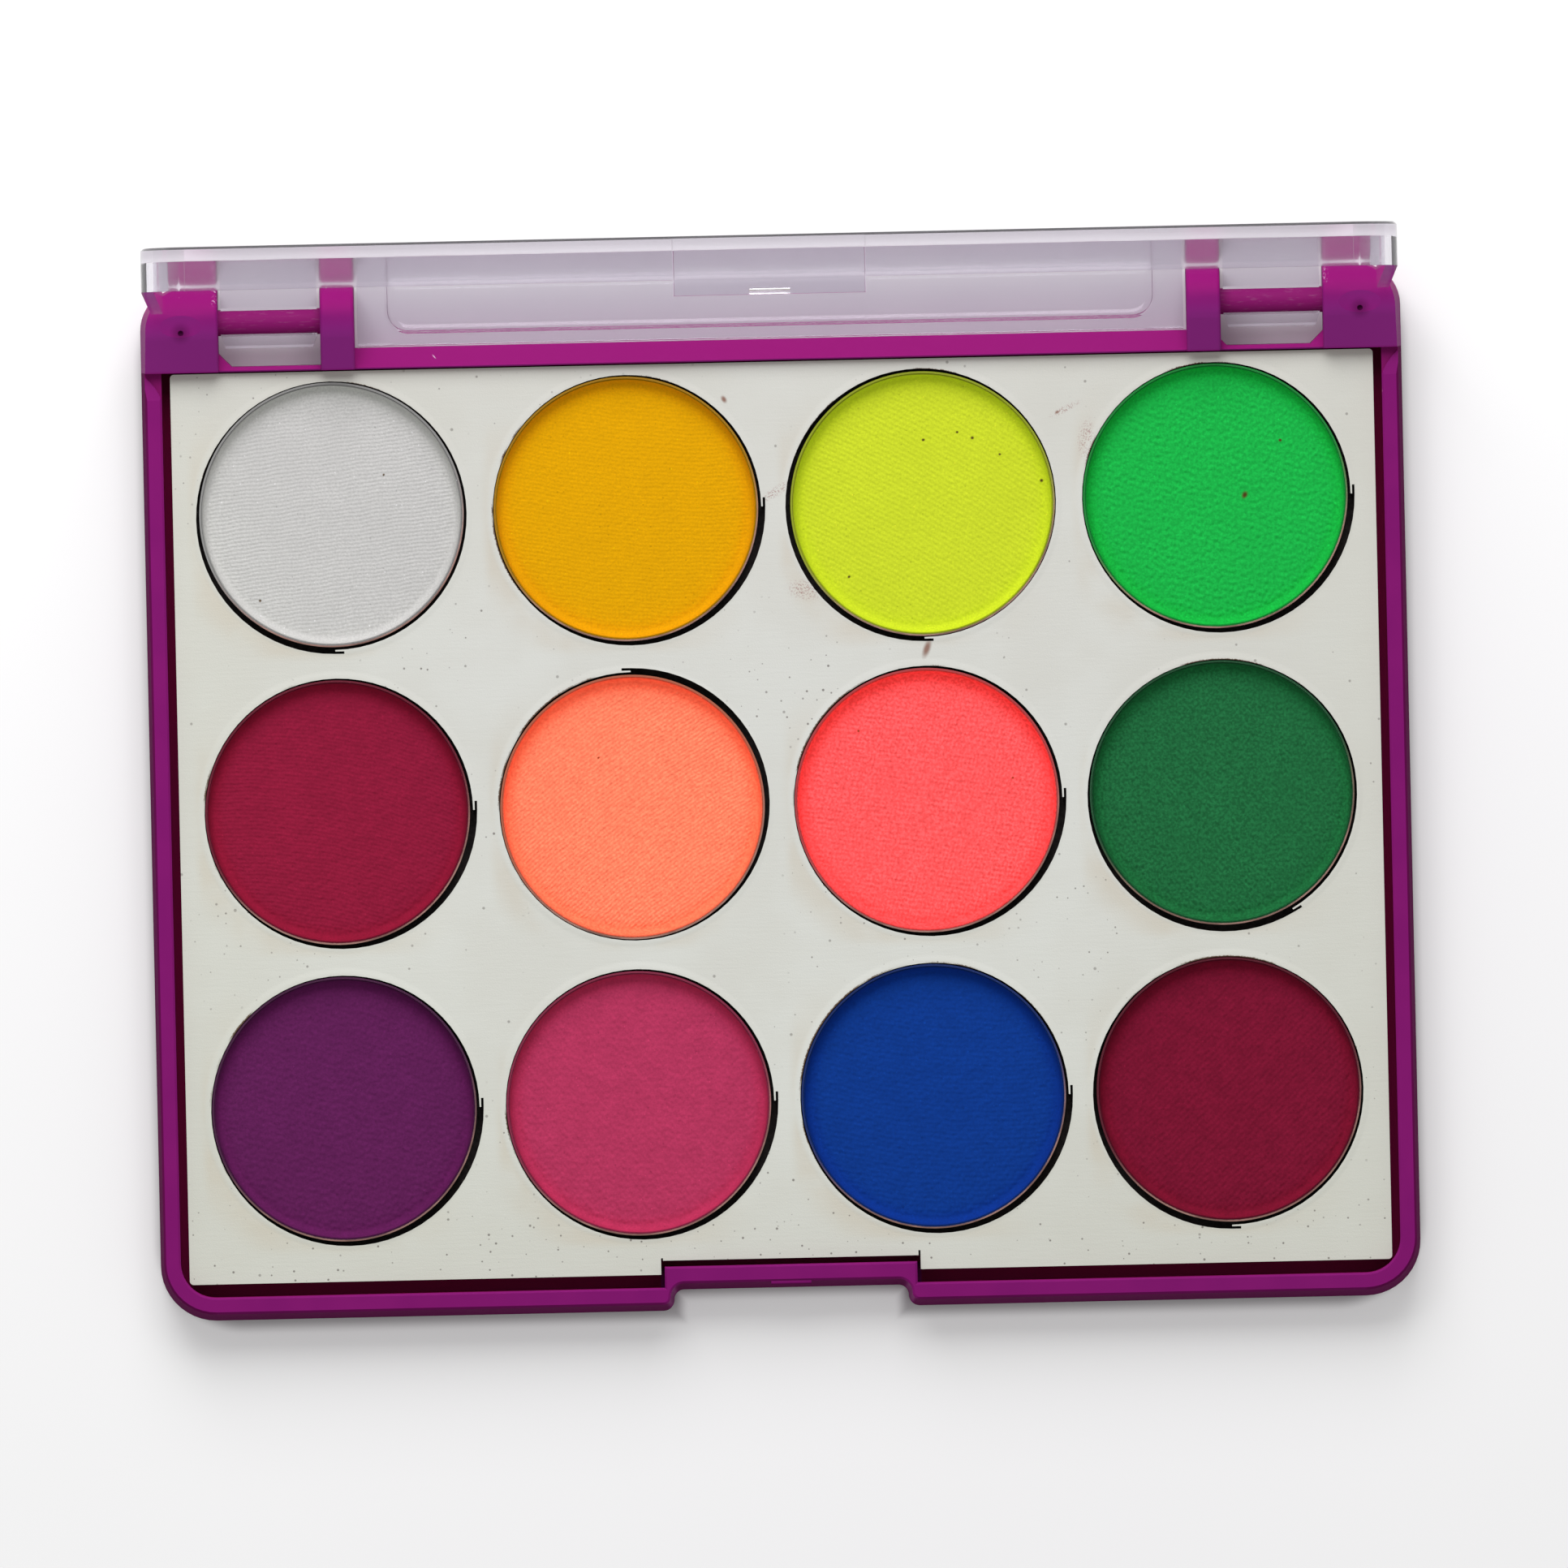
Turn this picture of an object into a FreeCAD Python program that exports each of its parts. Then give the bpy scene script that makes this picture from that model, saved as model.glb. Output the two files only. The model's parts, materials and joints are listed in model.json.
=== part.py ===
import FreeCAD, Part
import math
import os

# Pressed-powder palette: a shallow moulded tray, a clear lid that clips onto two hinge pins,
# and a board insert whose holes hold metal pans filled with pressed powder cakes.
# Millimetres. The origin is on the underside, below the centre of the pan grid.
# +X points right, +Y towards the hinge and +Z up. The lid is stored standing open.

# Shades row by row, starting beside the hinge: name, bearing of the step where the laser
# started its hole, and bearing of the pan's offset in the hole, in degrees from +X.
SHADES = [
    [("white", 270, 135), ("amber", 0, 160), ("lime", 270, 320), ("green", 0, 150)],
    [("crimson", 0, 170), ("salmon", 90, 215), ("coral", 0, 190), ("pine", 300, 120)],
    [("plum", 0, 150), ("rose", 0, 175), ("cobalt", 0, 140), ("maroon", 270, 100)],
]

# Metal pans
pan_diameter = 26.4
pan_height = 2.7
pan_sheet = 0.2
pan_bottom_round = 0.6
pan_below_board = 0.1

# Powder cakes: a flat field with a concave edge that climbs to a narrow lip at the pan's wall
powder_gap = 0.03
powder_edge_below_rim = 0.18
powder_lip_width = 0.1
powder_edge_width = 1.3
powder_edge_rise = 1.2

# Glue pads and backing card
pad_inset = 4.2
pad_thickness = 0.2
card_thickness = 0.4

# Board insert
board_web_x = 2.6
board_web_y = 2.85
board_margin_side = 2.5
board_margin_front = 3.75
board_margin_back = 1.0
board_corner_radius = 0.4
hole_clearance = 0.2
hole_step = 0.4
slit_width = 0.25
slit_length = 0.9
pan_offset = 0.12
overcut_width = 0.2
overcut_left = 0.25
overcut_right = 0.5

# Tray
floor_thickness = 1.4
side_gap = 0.85
front_gap = 1.3
back_gap = 0.15
corner_gap = 0.06
rim_rise = 1.0
rim_width = 1.65
rim_chamfer = 0.2
wall_draft = 0.4
front_draft = 0.8
foot_chamfer = 0.4
back_corner_radius = 4.2

# Thumb notch in the front wall, with its snap bead
notch_half_width = 11.7
notch_depth = 2.1
notch_round_top = 0.5
notch_side_wall = 0.9
notch_board_gap = 0.6
notch_board_side_gap = 0.35
bead_length = 4.0
bead_radius = 0.3
bead_below_rim = 0.45

# Hinge side of the tray
hinge_setback = 4.9
hinge_swing_clearance = 0.65
barrel_radius = 3.5
barrel_front_bearing = 117.0
rail_thickness = 2.1
rail_fall = 1.1
ledge_thickness = 0.5
block_width = 7.4
window_width = 10.2
window_slant = 1.3
window_tab_slant_left = 0.0
window_tab_slant_right = 0.6
tab_width = 3.4
knuckle_round = 0.35
pin_diameter = 2.6
pin_root = 1.5
rim_end_length = 2.7
rim_end_bulge = 0.25
rim_end_fall = 0.45
relief_depth = 0.6
dimple_diameter = 3.4
dimple_depth = 0.16
pit_diameter = 0.55
pit_depth = 0.5
pit_before_axis = 0.9

# Lid
lid_open_angle = 92.0
lid_thickness = 1.4
lid_chamfer = 0.25
lid_side_inset = 0.8
lid_over_barrel = 0.3
lid_over_rim = 0.1
skirt_wall = 1.2
skirt_end_clearance = 0.5
stop_clearance = 0.1
hinge_side_gap = 0.3
hinge_radial_clearance = 0.06
clip_snap = 0.24
clip_short_of_pin = 0.3
clip_chamfer = 0.25
clip_taper = 0.45
bar_wall = 1.4
bar_depth = 3.1
bar_lip = 1.3
trough_end_wall = 3.0
trough_round = 2.2
trough_floor_round = 0.9
trough_edge_chamfer = 0.2
bar_edge_round = 0.5
eject_mark_diameter = 1.6
eject_mark_depth = 0.15

# Front catch of the lid
catch_side_gap = 2.2
catch_wall = 1.2
catch_corner_radius = 0.5
nib_radius = 0.3
nib_gap = 0.12
latch_clearance = 0.08

# Sizes that follow from the ones above
pan_radius = pan_diameter / 2.0
hole_radius = pan_radius + hole_clearance
row_count = len(SHADES)
column_count = len(SHADES[0])
pan_pitch_x = 2 * hole_radius + board_web_x
pan_pitch_y = 2 * hole_radius + board_web_y
grid_half_x = (column_count - 1) / 2.0 * pan_pitch_x
grid_half_y = (row_count - 1) / 2.0 * pan_pitch_y

board_half_width = grid_half_x + hole_radius + board_margin_side
board_front = -(grid_half_y + hole_radius + board_margin_front)
board_back = grid_half_y + hole_radius + board_margin_back
card_bottom = floor_thickness
board_bottom = card_bottom + card_thickness
board_thickness = pad_thickness + pan_height + pan_below_board
board_top = board_bottom + board_thickness
pan_bottom = board_bottom + pad_thickness
pan_rim = pan_bottom + pan_height

cavity_half_width = board_half_width + side_gap
cavity_front = board_front - front_gap
cavity_back = board_back + back_gap
cavity_notch_half_width = notch_half_width + notch_side_wall
gap_sum = side_gap + front_gap - corner_gap
gap_square = side_gap**2 + front_gap**2 - corner_gap**2
cavity_corner_radius = gap_sum + math.sqrt(gap_sum**2 - gap_square)
rim_top = board_top + rim_rise

hinge_y = cavity_back + hinge_setback
case_half_width = cavity_half_width + rim_width + wall_draft
case_front = cavity_front - rim_width - front_draft
case_back = hinge_y + barrel_radius
case_corner_radius = cavity_corner_radius + rim_width + wall_draft
case_inset_at_rim = wall_draft + rim_chamfer
rail_back = cavity_back + rail_thickness
window_front = cavity_back + ledge_thickness
block_inner = cavity_half_width + rim_width - block_width
tab_outer = block_inner - window_width
tab_inner = tab_outer - tab_width
pin_radius = pin_diameter / 2.0
bead_z = rim_top - bead_below_rim

open_sine = math.sin(math.radians(lid_open_angle))
open_cosine = math.cos(math.radians(lid_open_angle))
stop_reach = hinge_y - rail_back - stop_clearance
bar_drop = (stop_reach + barrel_radius * open_cosine) / open_sine
hinge_height = math.hypot(barrel_radius, bar_drop) + hinge_swing_clearance
barrel_top = hinge_height + barrel_radius
bar_bottom = hinge_height - bar_drop

panel_bottom = barrel_top + lid_over_barrel
panel_top = panel_bottom + lid_thickness
lid_half_width = cavity_half_width + rim_width - lid_side_inset
lid_front = cavity_front - rim_width + lid_side_inset
lid_front_radius = cavity_corner_radius + rim_width - lid_side_inset
lid_back_radius = back_corner_radius - lid_side_inset
skirt_bottom = rim_top + lid_over_rim
skirt_end = cavity_back - skirt_end_clearance
bar_back = case_back
bar_front = bar_back - bar_depth
bar_half_width = tab_inner - hinge_side_gap
clip_mouth = pin_diameter - clip_snap
clip_reach = pin_radius - clip_short_of_pin
catch_half_width = notch_half_width - catch_side_gap

TINY = 1e-6
CUT_PAST = 1.0
X_AXIS = FreeCAD.Vector(1, 0, 0)
Y_AXIS = FreeCAD.Vector(0, 1, 0)
Z_AXIS = FreeCAD.Vector(0, 0, 1)
ORIGIN = FreeCAD.Vector(0, 0, 0)


def point(x, y, z=0.0):
    return FreeCAD.Vector(x, y, z)


def box(x0, x1, y0, y1, z0, z1):
    return Part.makeBox(x1 - x0, y1 - y0, z1 - z0, point(x0, y0, z0))


def bar_along_x(x0, x1, y, z, radius):
    return Part.makeCylinder(radius, x1 - x0, point(x0, y, z), X_AXIS)


def mirrored(shape):
    """The same shape on the other side of the YZ plane."""
    return shape.mirror(ORIGIN, X_AXIS)


def on_both_sides(shape):
    return [shape, mirrored(shape)]


def rounded_wire(corners, z):
    """Closed wire at height z through corners given as (x, y, radius)."""
    starts = []
    tops = []
    ends = []
    count = len(corners)
    for i, (x, y, radius) in enumerate(corners):
        here = point(x, y, z)
        to_before = (point(*corners[i - 1][:2], z) - here).normalize()
        to_after = (point(*corners[(i + 1) % count][:2], z) - here).normalize()
        half_corner = to_before.getAngle(to_after) / 2.0
        bisector = (to_before + to_after).normalize()
        starts.append(here + to_before * (radius / math.tan(half_corner)))
        ends.append(here + to_after * (radius / math.tan(half_corner)))
        tops.append(here + bisector * (radius / math.sin(half_corner) - radius))
    edges = []
    for i in range(count):
        following = starts[(i + 1) % count]
        if starts[i].distanceToPoint(ends[i]) > TINY:
            edges.append(Part.Arc(starts[i], tops[i], ends[i]).toShape())
        if ends[i].distanceToPoint(following) > TINY:
            edges.append(Part.LineSegment(ends[i], following).toShape())
    return Part.Wire(edges)


def prism(wire, height):
    return Part.Face(wire).extrude(point(0, 0, height))


def stacked(outline, levels):
    """Solid through an outline drawn at several (inset, z) levels, with straight sides between."""
    return Part.makeLoft([outline(inset, z) for inset, z in levels], True, True)


def draft_at(z):
    """How far the tray's outer wall has leaned in at height z."""
    return wall_draft * z / rim_top


def front_face(inset, z):
    """Y of the front wall at height z, where the other outer walls stand in by inset."""
    return case_front + inset + (front_draft - wall_draft) * z / rim_top


def notch_face(z):
    """Y of the thumb notch's outer wall at height z."""
    return front_face(draft_at(z), z) + notch_depth


def shell_outline(inset, z):
    """Outer wall of the tray, from the thumb notch to the back of the rail."""
    half = case_half_width - inset
    front = front_face(inset, z)
    side = notch_half_width + inset
    notch = front + notch_depth
    outer_round = notch_round_top + case_inset_at_rim - inset
    inner_round = notch_depth - outer_round
    corners = [
        (half, rail_back, 0.0),
        (-half, rail_back, 0.0),
        (-half, front, case_corner_radius - inset),
        (-side, front, outer_round),
        (-side, notch, inner_round),
        (side, notch, inner_round),
        (side, front, outer_round),
        (half, front, case_corner_radius - inset),
    ]
    return rounded_wire(corners, z)


def knuckle_outline(inset, z):
    """Plan of the hinge side, with rounded outer corners behind the rail."""
    half = case_half_width - inset
    corners = [
        (half, case_back, back_corner_radius),
        (-half, case_back, back_corner_radius),
        (-half, cavity_back, 0.0),
        (half, cavity_back, 0.0),
    ]
    return rounded_wire(corners, z)


def cavity_outline(inset, z):
    half = cavity_half_width - inset
    front = cavity_front + inset
    back = cavity_back - inset
    side = cavity_notch_half_width + inset
    notch = front + notch_depth
    corners = [
        (half, back, 0.0),
        (-half, back, 0.0),
        (-half, front, cavity_corner_radius - inset),
        (-side, front, 0.0),
        (-side, notch, 0.0),
        (side, notch, 0.0),
        (side, front, 0.0),
        (half, front, cavity_corner_radius - inset),
    ]
    return rounded_wire(corners, z)


def board_outline(z):
    side = cavity_notch_half_width + notch_board_side_gap
    notch = cavity_front + notch_depth + notch_board_gap
    corners = [
        (board_half_width, board_back, board_corner_radius),
        (-board_half_width, board_back, board_corner_radius),
        (-board_half_width, board_front, board_corner_radius),
        (-side, board_front, 0.0),
        (-side, notch, 0.0),
        (side, notch, 0.0),
        (side, board_front, 0.0),
        (board_half_width, board_front, board_corner_radius),
    ]
    return rounded_wire(corners, z)


def lid_outline(inset, z):
    half = lid_half_width - inset
    corners = [
        (half, bar_back - inset, lid_back_radius - inset),
        (-half, bar_back - inset, lid_back_radius - inset),
        (-half, lid_front + inset, lid_front_radius - inset),
        (half, lid_front + inset, lid_front_radius - inset),
    ]
    return rounded_wire(corners, z)


def well_places():
    """Name, hole centre, start-step bearing and pan centre of every well in the grid."""
    places = []
    for row, shade_row in enumerate(SHADES):
        for column, (name, step_bearing, offset_bearing) in enumerate(shade_row):
            hole = point(column * pan_pitch_x - grid_half_x, grid_half_y - row * pan_pitch_y)
            turn = math.radians(offset_bearing)
            pan = hole + point(math.cos(turn), math.sin(turn)) * pan_offset
            places.append((name, hole, step_bearing, pan))
    return places


def hole_wire(centre, step_bearing, z):
    """Laser-cut hole that starts a step too wide and narrows over its first half turn."""
    turn = math.radians(step_bearing)
    towards = point(math.cos(turn), math.sin(turn))
    clockwise = point(math.sin(turn), -math.cos(turn))
    middle = centre + point(0, 0, z)
    wide_middle = middle + towards * (hole_step / 2.0)
    wide_radius = hole_radius + hole_step / 2.0
    start = middle + towards * (hole_radius + hole_step)
    far = middle - towards * hole_radius
    finish = middle + towards * hole_radius
    wide_half = Part.Arc(start, wide_middle + clockwise * wide_radius, far)
    true_half = Part.Arc(far, middle - clockwise * hole_radius, finish)
    step = Part.LineSegment(finish, start)
    return Part.Wire([wide_half.toShape(), true_half.toShape(), step.toShape()])


def start_slit(centre, step_bearing):
    """Narrow cut beside a hole's step, where the laser ran in."""
    outer = hole_radius + hole_step
    slit = box(outer - slit_width, outer, 0.0, slit_length, board_bottom, board_top)
    slit.rotate(ORIGIN, Z_AXIS, step_bearing)
    slit.translate(centre)
    return slit


def revolved(edges):
    """Solid of revolution about Z from edges drawn in the XZ plane."""
    return Part.Face(Part.Wire(edges)).revolve(ORIGIN, Z_AXIS, 360)


def line(a, b):
    return Part.LineSegment(a, b).toShape()


def hinge_section():
    """Outline of the hinge blocks and tabs, seen along X: a barrel that slopes down to the cavity."""
    turn = math.radians(barrel_front_bearing)
    axis = point(0, hinge_y, hinge_height)
    leave = axis + point(0, math.cos(turn), math.sin(turn)) * barrel_radius
    crown = axis + point(0, math.cos(turn / 2.0), math.sin(turn / 2.0)) * barrel_radius
    slope_drop = (leave.y - cavity_back) * math.tan(turn - math.pi / 2.0)
    back_low = point(0, case_back, 0)
    back_high = point(0, case_back, hinge_height)
    front_high = point(0, cavity_back, leave.z - slope_drop)
    front_low = point(0, cavity_back, 0)
    edges = [
        line(front_low, back_low),
        line(back_low, back_high),
        Part.Arc(back_high, crown, leave).toShape(),
        line(leave, front_high),
        line(front_high, front_low),
    ]
    return Part.Wire(edges)


def make_knuckle(x0, x1, soft_faces):
    """Block or tab from x0 to x1 with rounded edges on the faces whose x is given."""
    knuckle = Part.Face(hinge_section()).extrude(X_AXIS * (x1 - x0))
    knuckle.translate(X_AXIS * x0)
    plan_top = barrel_top + CUT_PAST
    plan = stacked(knuckle_outline, [(0.0, 0.0), (draft_at(plan_top), plan_top)])
    knuckle = knuckle.common(plan)
    soft_edges = []
    for edge in knuckle.Edges:
        bounds = edge.BoundBox
        on_soft_face = any(abs(bounds.XMin - x) + abs(bounds.XMax - x) < TINY for x in soft_faces)
        behind_front = bounds.YMax > cavity_back + TINY
        if on_soft_face and behind_front and bounds.ZMax > TINY:
            soft_edges.append(edge)
    return knuckle.makeFillet(knuckle_round, soft_edges)


def hinge_window(tab_slant):
    """Through opening on the right between a tab and a block, with slanted front corners."""
    corners = [
        (tab_outer, case_back, 0.0),
        (block_inner, case_back, 0.0),
        (block_inner, window_front + window_slant, 0.0),
        (block_inner - window_slant, window_front, 0.0),
        (tab_outer + tab_slant, window_front, 0.0),
    ]
    if tab_slant > 0:
        corners.append((tab_outer, window_front + tab_slant, 0.0))
    return prism(rounded_wire(corners, -CUT_PAST), barrel_top + 2 * CUT_PAST)


def falling_cut(x0, x1, y0, y1, fall):
    """Wedge that slopes the rim's top down from y0 towards the hinge, by fall at y1."""
    corners = [
        point(x0, y0, rim_top),
        point(x0, y1, rim_top - fall),
        point(x0, y1, rim_top + CUT_PAST),
        point(x0, y0, rim_top + CUT_PAST),
    ]
    return Part.Face(Part.makePolygon(corners + corners[:1])).extrude(X_AXIS * (x1 - x0))


def rim_end_relief():
    """Shallow cut on the right that narrows the rim to a point at the block, along a bulging arc."""
    z = rim_top - relief_depth
    foot = point(cavity_half_width, cavity_back - rim_end_length, z)
    tip = point(case_half_width, cavity_back, z)
    across = tip - foot
    bulge = (foot + tip) * 0.5 + point(-across.y, across.x).normalize() * rim_end_bulge
    inner_back = point(cavity_half_width - CUT_PAST, cavity_back, z)
    inner_front = point(cavity_half_width - CUT_PAST, foot.y, z)
    edges = [
        Part.Arc(foot, bulge, tip).toShape(),
        line(tip, inner_back),
        line(inner_back, inner_front),
        line(inner_front, foot),
    ]
    return prism(Part.Wire(edges), relief_depth + CUT_PAST)


def make_tray():
    outside = [
        (foot_chamfer, 0.0),
        (0.0, foot_chamfer),
        (draft_at(rim_top - rim_chamfer), rim_top - rim_chamfer),
        (case_inset_at_rim, rim_top),
    ]
    inside = [
        (0.0, floor_thickness),
        (0.0, rim_top - rim_chamfer),
        (-rim_chamfer, rim_top),
    ]
    tray = stacked(shell_outline, outside).cut(stacked(cavity_outline, inside))
    tray = tray.cut([hinge_window(window_tab_slant_right), mirrored(hinge_window(window_tab_slant_left))])

    rail_slope = falling_cut(-case_half_width, case_half_width, cavity_back, rail_back, rail_fall)
    rim_end = cavity_back - rim_end_length
    ramp = falling_cut(cavity_half_width - CUT_PAST, case_half_width, rim_end, cavity_back, rim_end_fall)
    tray = tray.cut([rail_slope] + on_both_sides(ramp) + on_both_sides(rim_end_relief()))
    block = make_knuckle(block_inner, case_half_width, [block_inner])
    tab = make_knuckle(tab_inner, tab_outer, [tab_inner, tab_outer])
    tray = tray.fuse(on_both_sides(block) + on_both_sides(tab))

    pin = bar_along_x(tab_outer - pin_root, block_inner + pin_root, hinge_y, hinge_height, pin_radius)
    tray = tray.fuse(on_both_sides(pin))

    pit_top = barrel_top - barrel_radius + math.sqrt(barrel_radius**2 - pit_before_axis**2)
    pit_mouth = point(block_inner + block_width / 2.0, hinge_y - pit_before_axis, pit_top)
    pit_floor = pit_mouth - Z_AXIS * (dimple_depth + pit_depth)
    pit = Part.makeCylinder(pit_diameter / 2.0, dimple_depth + pit_depth + CUT_PAST, pit_floor)
    dimple_radius = ((dimple_diameter / 2.0) ** 2 + dimple_depth**2) / (2 * dimple_depth)
    dimple = Part.makeSphere(dimple_radius, pit_mouth + Z_AXIS * (dimple_radius - dimple_depth))
    tray = tray.cut(on_both_sides(pit) + on_both_sides(dimple))

    bead_half = bead_length / 2.0
    bead = bar_along_x(-bead_half, bead_half, notch_face(bead_z), bead_z, bead_radius)
    return tray.fuse(bead).removeSplitter()


def make_board():
    wires = [board_outline(board_bottom)]
    slits = []
    for _, hole, step_bearing, _ in well_places():
        wires.append(hole_wire(hole, step_bearing, board_bottom))
        slits.append(start_slit(hole, step_bearing))
    board = Part.Face(wires).extrude(Z_AXIS * board_thickness)

    side = cavity_notch_half_width + notch_board_side_gap
    notch = cavity_front + notch_depth + notch_board_gap
    slit_front = notch - overcut_width
    left_end = overcut_width - side
    left_slit = box(-side, left_end, slit_front, notch + overcut_left, board_bottom, board_top)
    right_slit = box(-left_end, side, slit_front, notch + overcut_right, board_bottom, board_top)
    return board.cut(slits + [left_slit, right_slit])


def make_card():
    return prism(board_outline(card_bottom), card_thickness)


def make_pads():
    pads = []
    for _, _, _, pan in well_places():
        pads.append(Part.makeCylinder(pan_radius - pad_inset, pad_thickness, pan + Z_AXIS * board_bottom))
    return Part.makeCompound(pads)


def make_pan(centre):
    outer = Part.makeCylinder(pan_radius, pan_height)
    outer = outer.makeFillet(pan_bottom_round, [lowest_edge(outer)])
    inner_radius = pan_radius - pan_sheet
    inner = Part.makeCylinder(inner_radius, pan_height, Z_AXIS * pan_sheet)
    inner = inner.makeFillet(pan_bottom_round - pan_sheet, [lowest_edge(inner)])
    pan = outer.cut(inner)
    pan.translate(centre + Z_AXIS * pan_bottom)
    return pan


def lowest_edge(cylinder):
    """The bottom rim of an upright cylinder."""
    circles = [edge for edge in cylinder.Edges if edge.isClosed()]
    return min(circles, key=lambda edge: edge.CenterOfMass.z)


def make_powder(centre):
    radius = pan_radius - pan_sheet - powder_gap
    bottom_round = pan_bottom_round - pan_sheet
    floor = pan_bottom + pan_sheet
    edge_top = pan_rim - powder_edge_below_rim
    field = edge_top - powder_edge_rise
    lip_radius = radius - powder_lip_width
    field_radius = lip_radius - powder_edge_width
    # A circle that leaves the flat field smoothly and reaches the lip.
    arc_radius = (powder_edge_width**2 + powder_edge_rise**2) / (2 * powder_edge_rise)
    half_arc = math.asin(powder_edge_width / arc_radius) / 2.0
    arc_middle_radius = field_radius + arc_radius * math.sin(half_arc)
    arc_middle = point(arc_middle_radius, 0, field + arc_radius * (1 - math.cos(half_arc)))
    corner_slack = bottom_round * (1 - math.sqrt(0.5))
    edges = [
        line(point(0, 0, floor), point(radius - bottom_round, 0, floor)),
        Part.Arc(
            point(radius - bottom_round, 0, floor),
            point(radius - corner_slack, 0, floor + corner_slack),
            point(radius, 0, floor + bottom_round),
        ).toShape(),
        line(point(radius, 0, floor + bottom_round), point(radius, 0, edge_top)),
        line(point(radius, 0, edge_top), point(lip_radius, 0, edge_top)),
        Part.Arc(point(lip_radius, 0, edge_top), arc_middle, point(field_radius, 0, field)).toShape(),
        line(point(field_radius, 0, field), point(0, 0, field)),
        line(point(0, 0, field), point(0, 0, floor)),
    ]
    cake = revolved(edges)
    cake.translate(centre)
    return cake


def make_clip():
    """U-shaped clip on the right: grips the pin, with its mouth to the front while the lid is shut."""
    x0 = tab_outer + hinge_side_gap
    x1 = block_inner - hinge_side_gap
    front = hinge_y - clip_reach
    mouth_half = clip_mouth / 2.0
    clip = box(x0, x1, front, bar_back, bar_bottom, panel_bottom)
    bore = bar_along_x(x0, x1, hinge_y, hinge_height, pin_radius + hinge_radial_clearance)
    mouth = box(x0, x1, front, hinge_y, hinge_height - mouth_half, hinge_height + mouth_half)
    flare = [
        point(x0, front, hinge_height - mouth_half - clip_chamfer),
        point(x0, front, hinge_height + mouth_half + clip_chamfer),
        point(x0, front + clip_chamfer, hinge_height + mouth_half),
        point(x0, front + clip_chamfer, hinge_height - mouth_half),
    ]
    funnel = Part.Face(Part.makePolygon(flare + flare[:1])).extrude(X_AXIS * (x1 - x0))
    toe = [
        point(x0, front, bar_bottom),
        point(x0, front, bar_bottom + clip_chamfer),
        point(x0, front + clip_chamfer, bar_bottom),
    ]
    toe_cut = Part.Face(Part.makePolygon(toe + toe[:1])).extrude(X_AXIS * (x1 - x0))
    arm_top = hinge_height - pin_radius
    cuts = [bore, mouth, funnel, toe_cut]
    for end, inward in ((x0, clip_taper), (x1, -clip_taper)):
        taper = [
            point(end, front, bar_bottom),
            point(end + inward, front, bar_bottom),
            point(end, front, arm_top),
        ]
        cuts.append(Part.Face(Part.makePolygon(taper + taper[:1])).extrude(Y_AXIS * (bar_back - front)))
    return clip.cut(cuts)


def make_back_bar():
    """Bar between the tabs: stops the open lid at the rail, and is hollowed by a trough."""
    bar = box(-bar_half_width, bar_half_width, bar_front, bar_back, bar_bottom, panel_bottom)
    end = bar_half_width - trough_end_wall
    low = bar_bottom + bar_lip
    corners = [
        (end, panel_bottom, 0.0),
        (-end, panel_bottom, 0.0),
        (-end, low, trough_round),
        (end, low, trough_round),
    ]
    trough = prism(rounded_wire(corners, 0.0), bar_depth - bar_wall)
    floor_edges = [edge for edge in trough.Edges if edge.BoundBox.ZMax < trough_floor_round / 2.0]
    trough = trough.makeFillet(trough_floor_round, floor_edges)
    trough.rotate(ORIGIN, X_AXIS, 90)
    trough.translate(Y_AXIS * (bar_back - bar_wall))
    mark_x = bar_half_width - trough_end_wall / 2.0
    mark_face = point(mark_x, bar_front, hinge_height)
    mark = Part.makeCylinder(eject_mark_diameter / 2.0, eject_mark_depth, mark_face, Y_AXIS)
    bar = bar.cut(trough)
    in_face = [edge for edge in bar.Edges if edge.BoundBox.YMax < bar_front + trough_edge_chamfer / 2.0]
    mouth = [edge for edge in in_face if abs(edge.CenterOfMass.x) < end + trough_edge_chamfer / 2.0]
    mouth = [edge for edge in mouth if edge.CenterOfMass.z > low - trough_edge_chamfer]
    mouth = [edge for edge in mouth if edge.CenterOfMass.z < panel_bottom - trough_edge_chamfer]
    bar = bar.makeChamfer(trough_edge_chamfer, mouth)
    in_face = [edge for edge in bar.Edges if edge.BoundBox.YMax < bar_front + trough_edge_chamfer / 2.0]
    rail_edge = [edge for edge in in_face if edge.BoundBox.ZMax < bar_bottom + bar_edge_round / 2.0]
    bar = bar.makeFillet(bar_edge_round, rail_edge)
    return bar.cut(on_both_sides(mark))


def make_catch():
    """Tab that drops into the thumb notch, with a nib that passes below the tray's bead."""
    inner_face = notch_face(bead_z) - bead_radius - latch_clearance - nib_radius
    outer_face = inner_face - catch_wall
    nib_z = bead_z - bead_radius - nib_gap - nib_radius
    bottom = nib_z - nib_radius
    corners = [
        (catch_half_width, lid_front + skirt_wall, 0.0),
        (-catch_half_width, lid_front + skirt_wall, 0.0),
        (-catch_half_width, outer_face, catch_corner_radius),
        (catch_half_width, outer_face, catch_corner_radius),
    ]
    brow = prism(rounded_wire(corners, panel_bottom), lid_thickness - lid_chamfer)
    tab = prism(rounded_wire(corners, bottom), panel_bottom - bottom)
    behind = box(-catch_half_width, catch_half_width, inner_face, cavity_back, bottom, skirt_bottom)
    nib = bar_along_x(-bead_length / 2.0, bead_length / 2.0, inner_face, nib_z, nib_radius)
    return brow.fuse([tab.cut(behind), nib])


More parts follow.
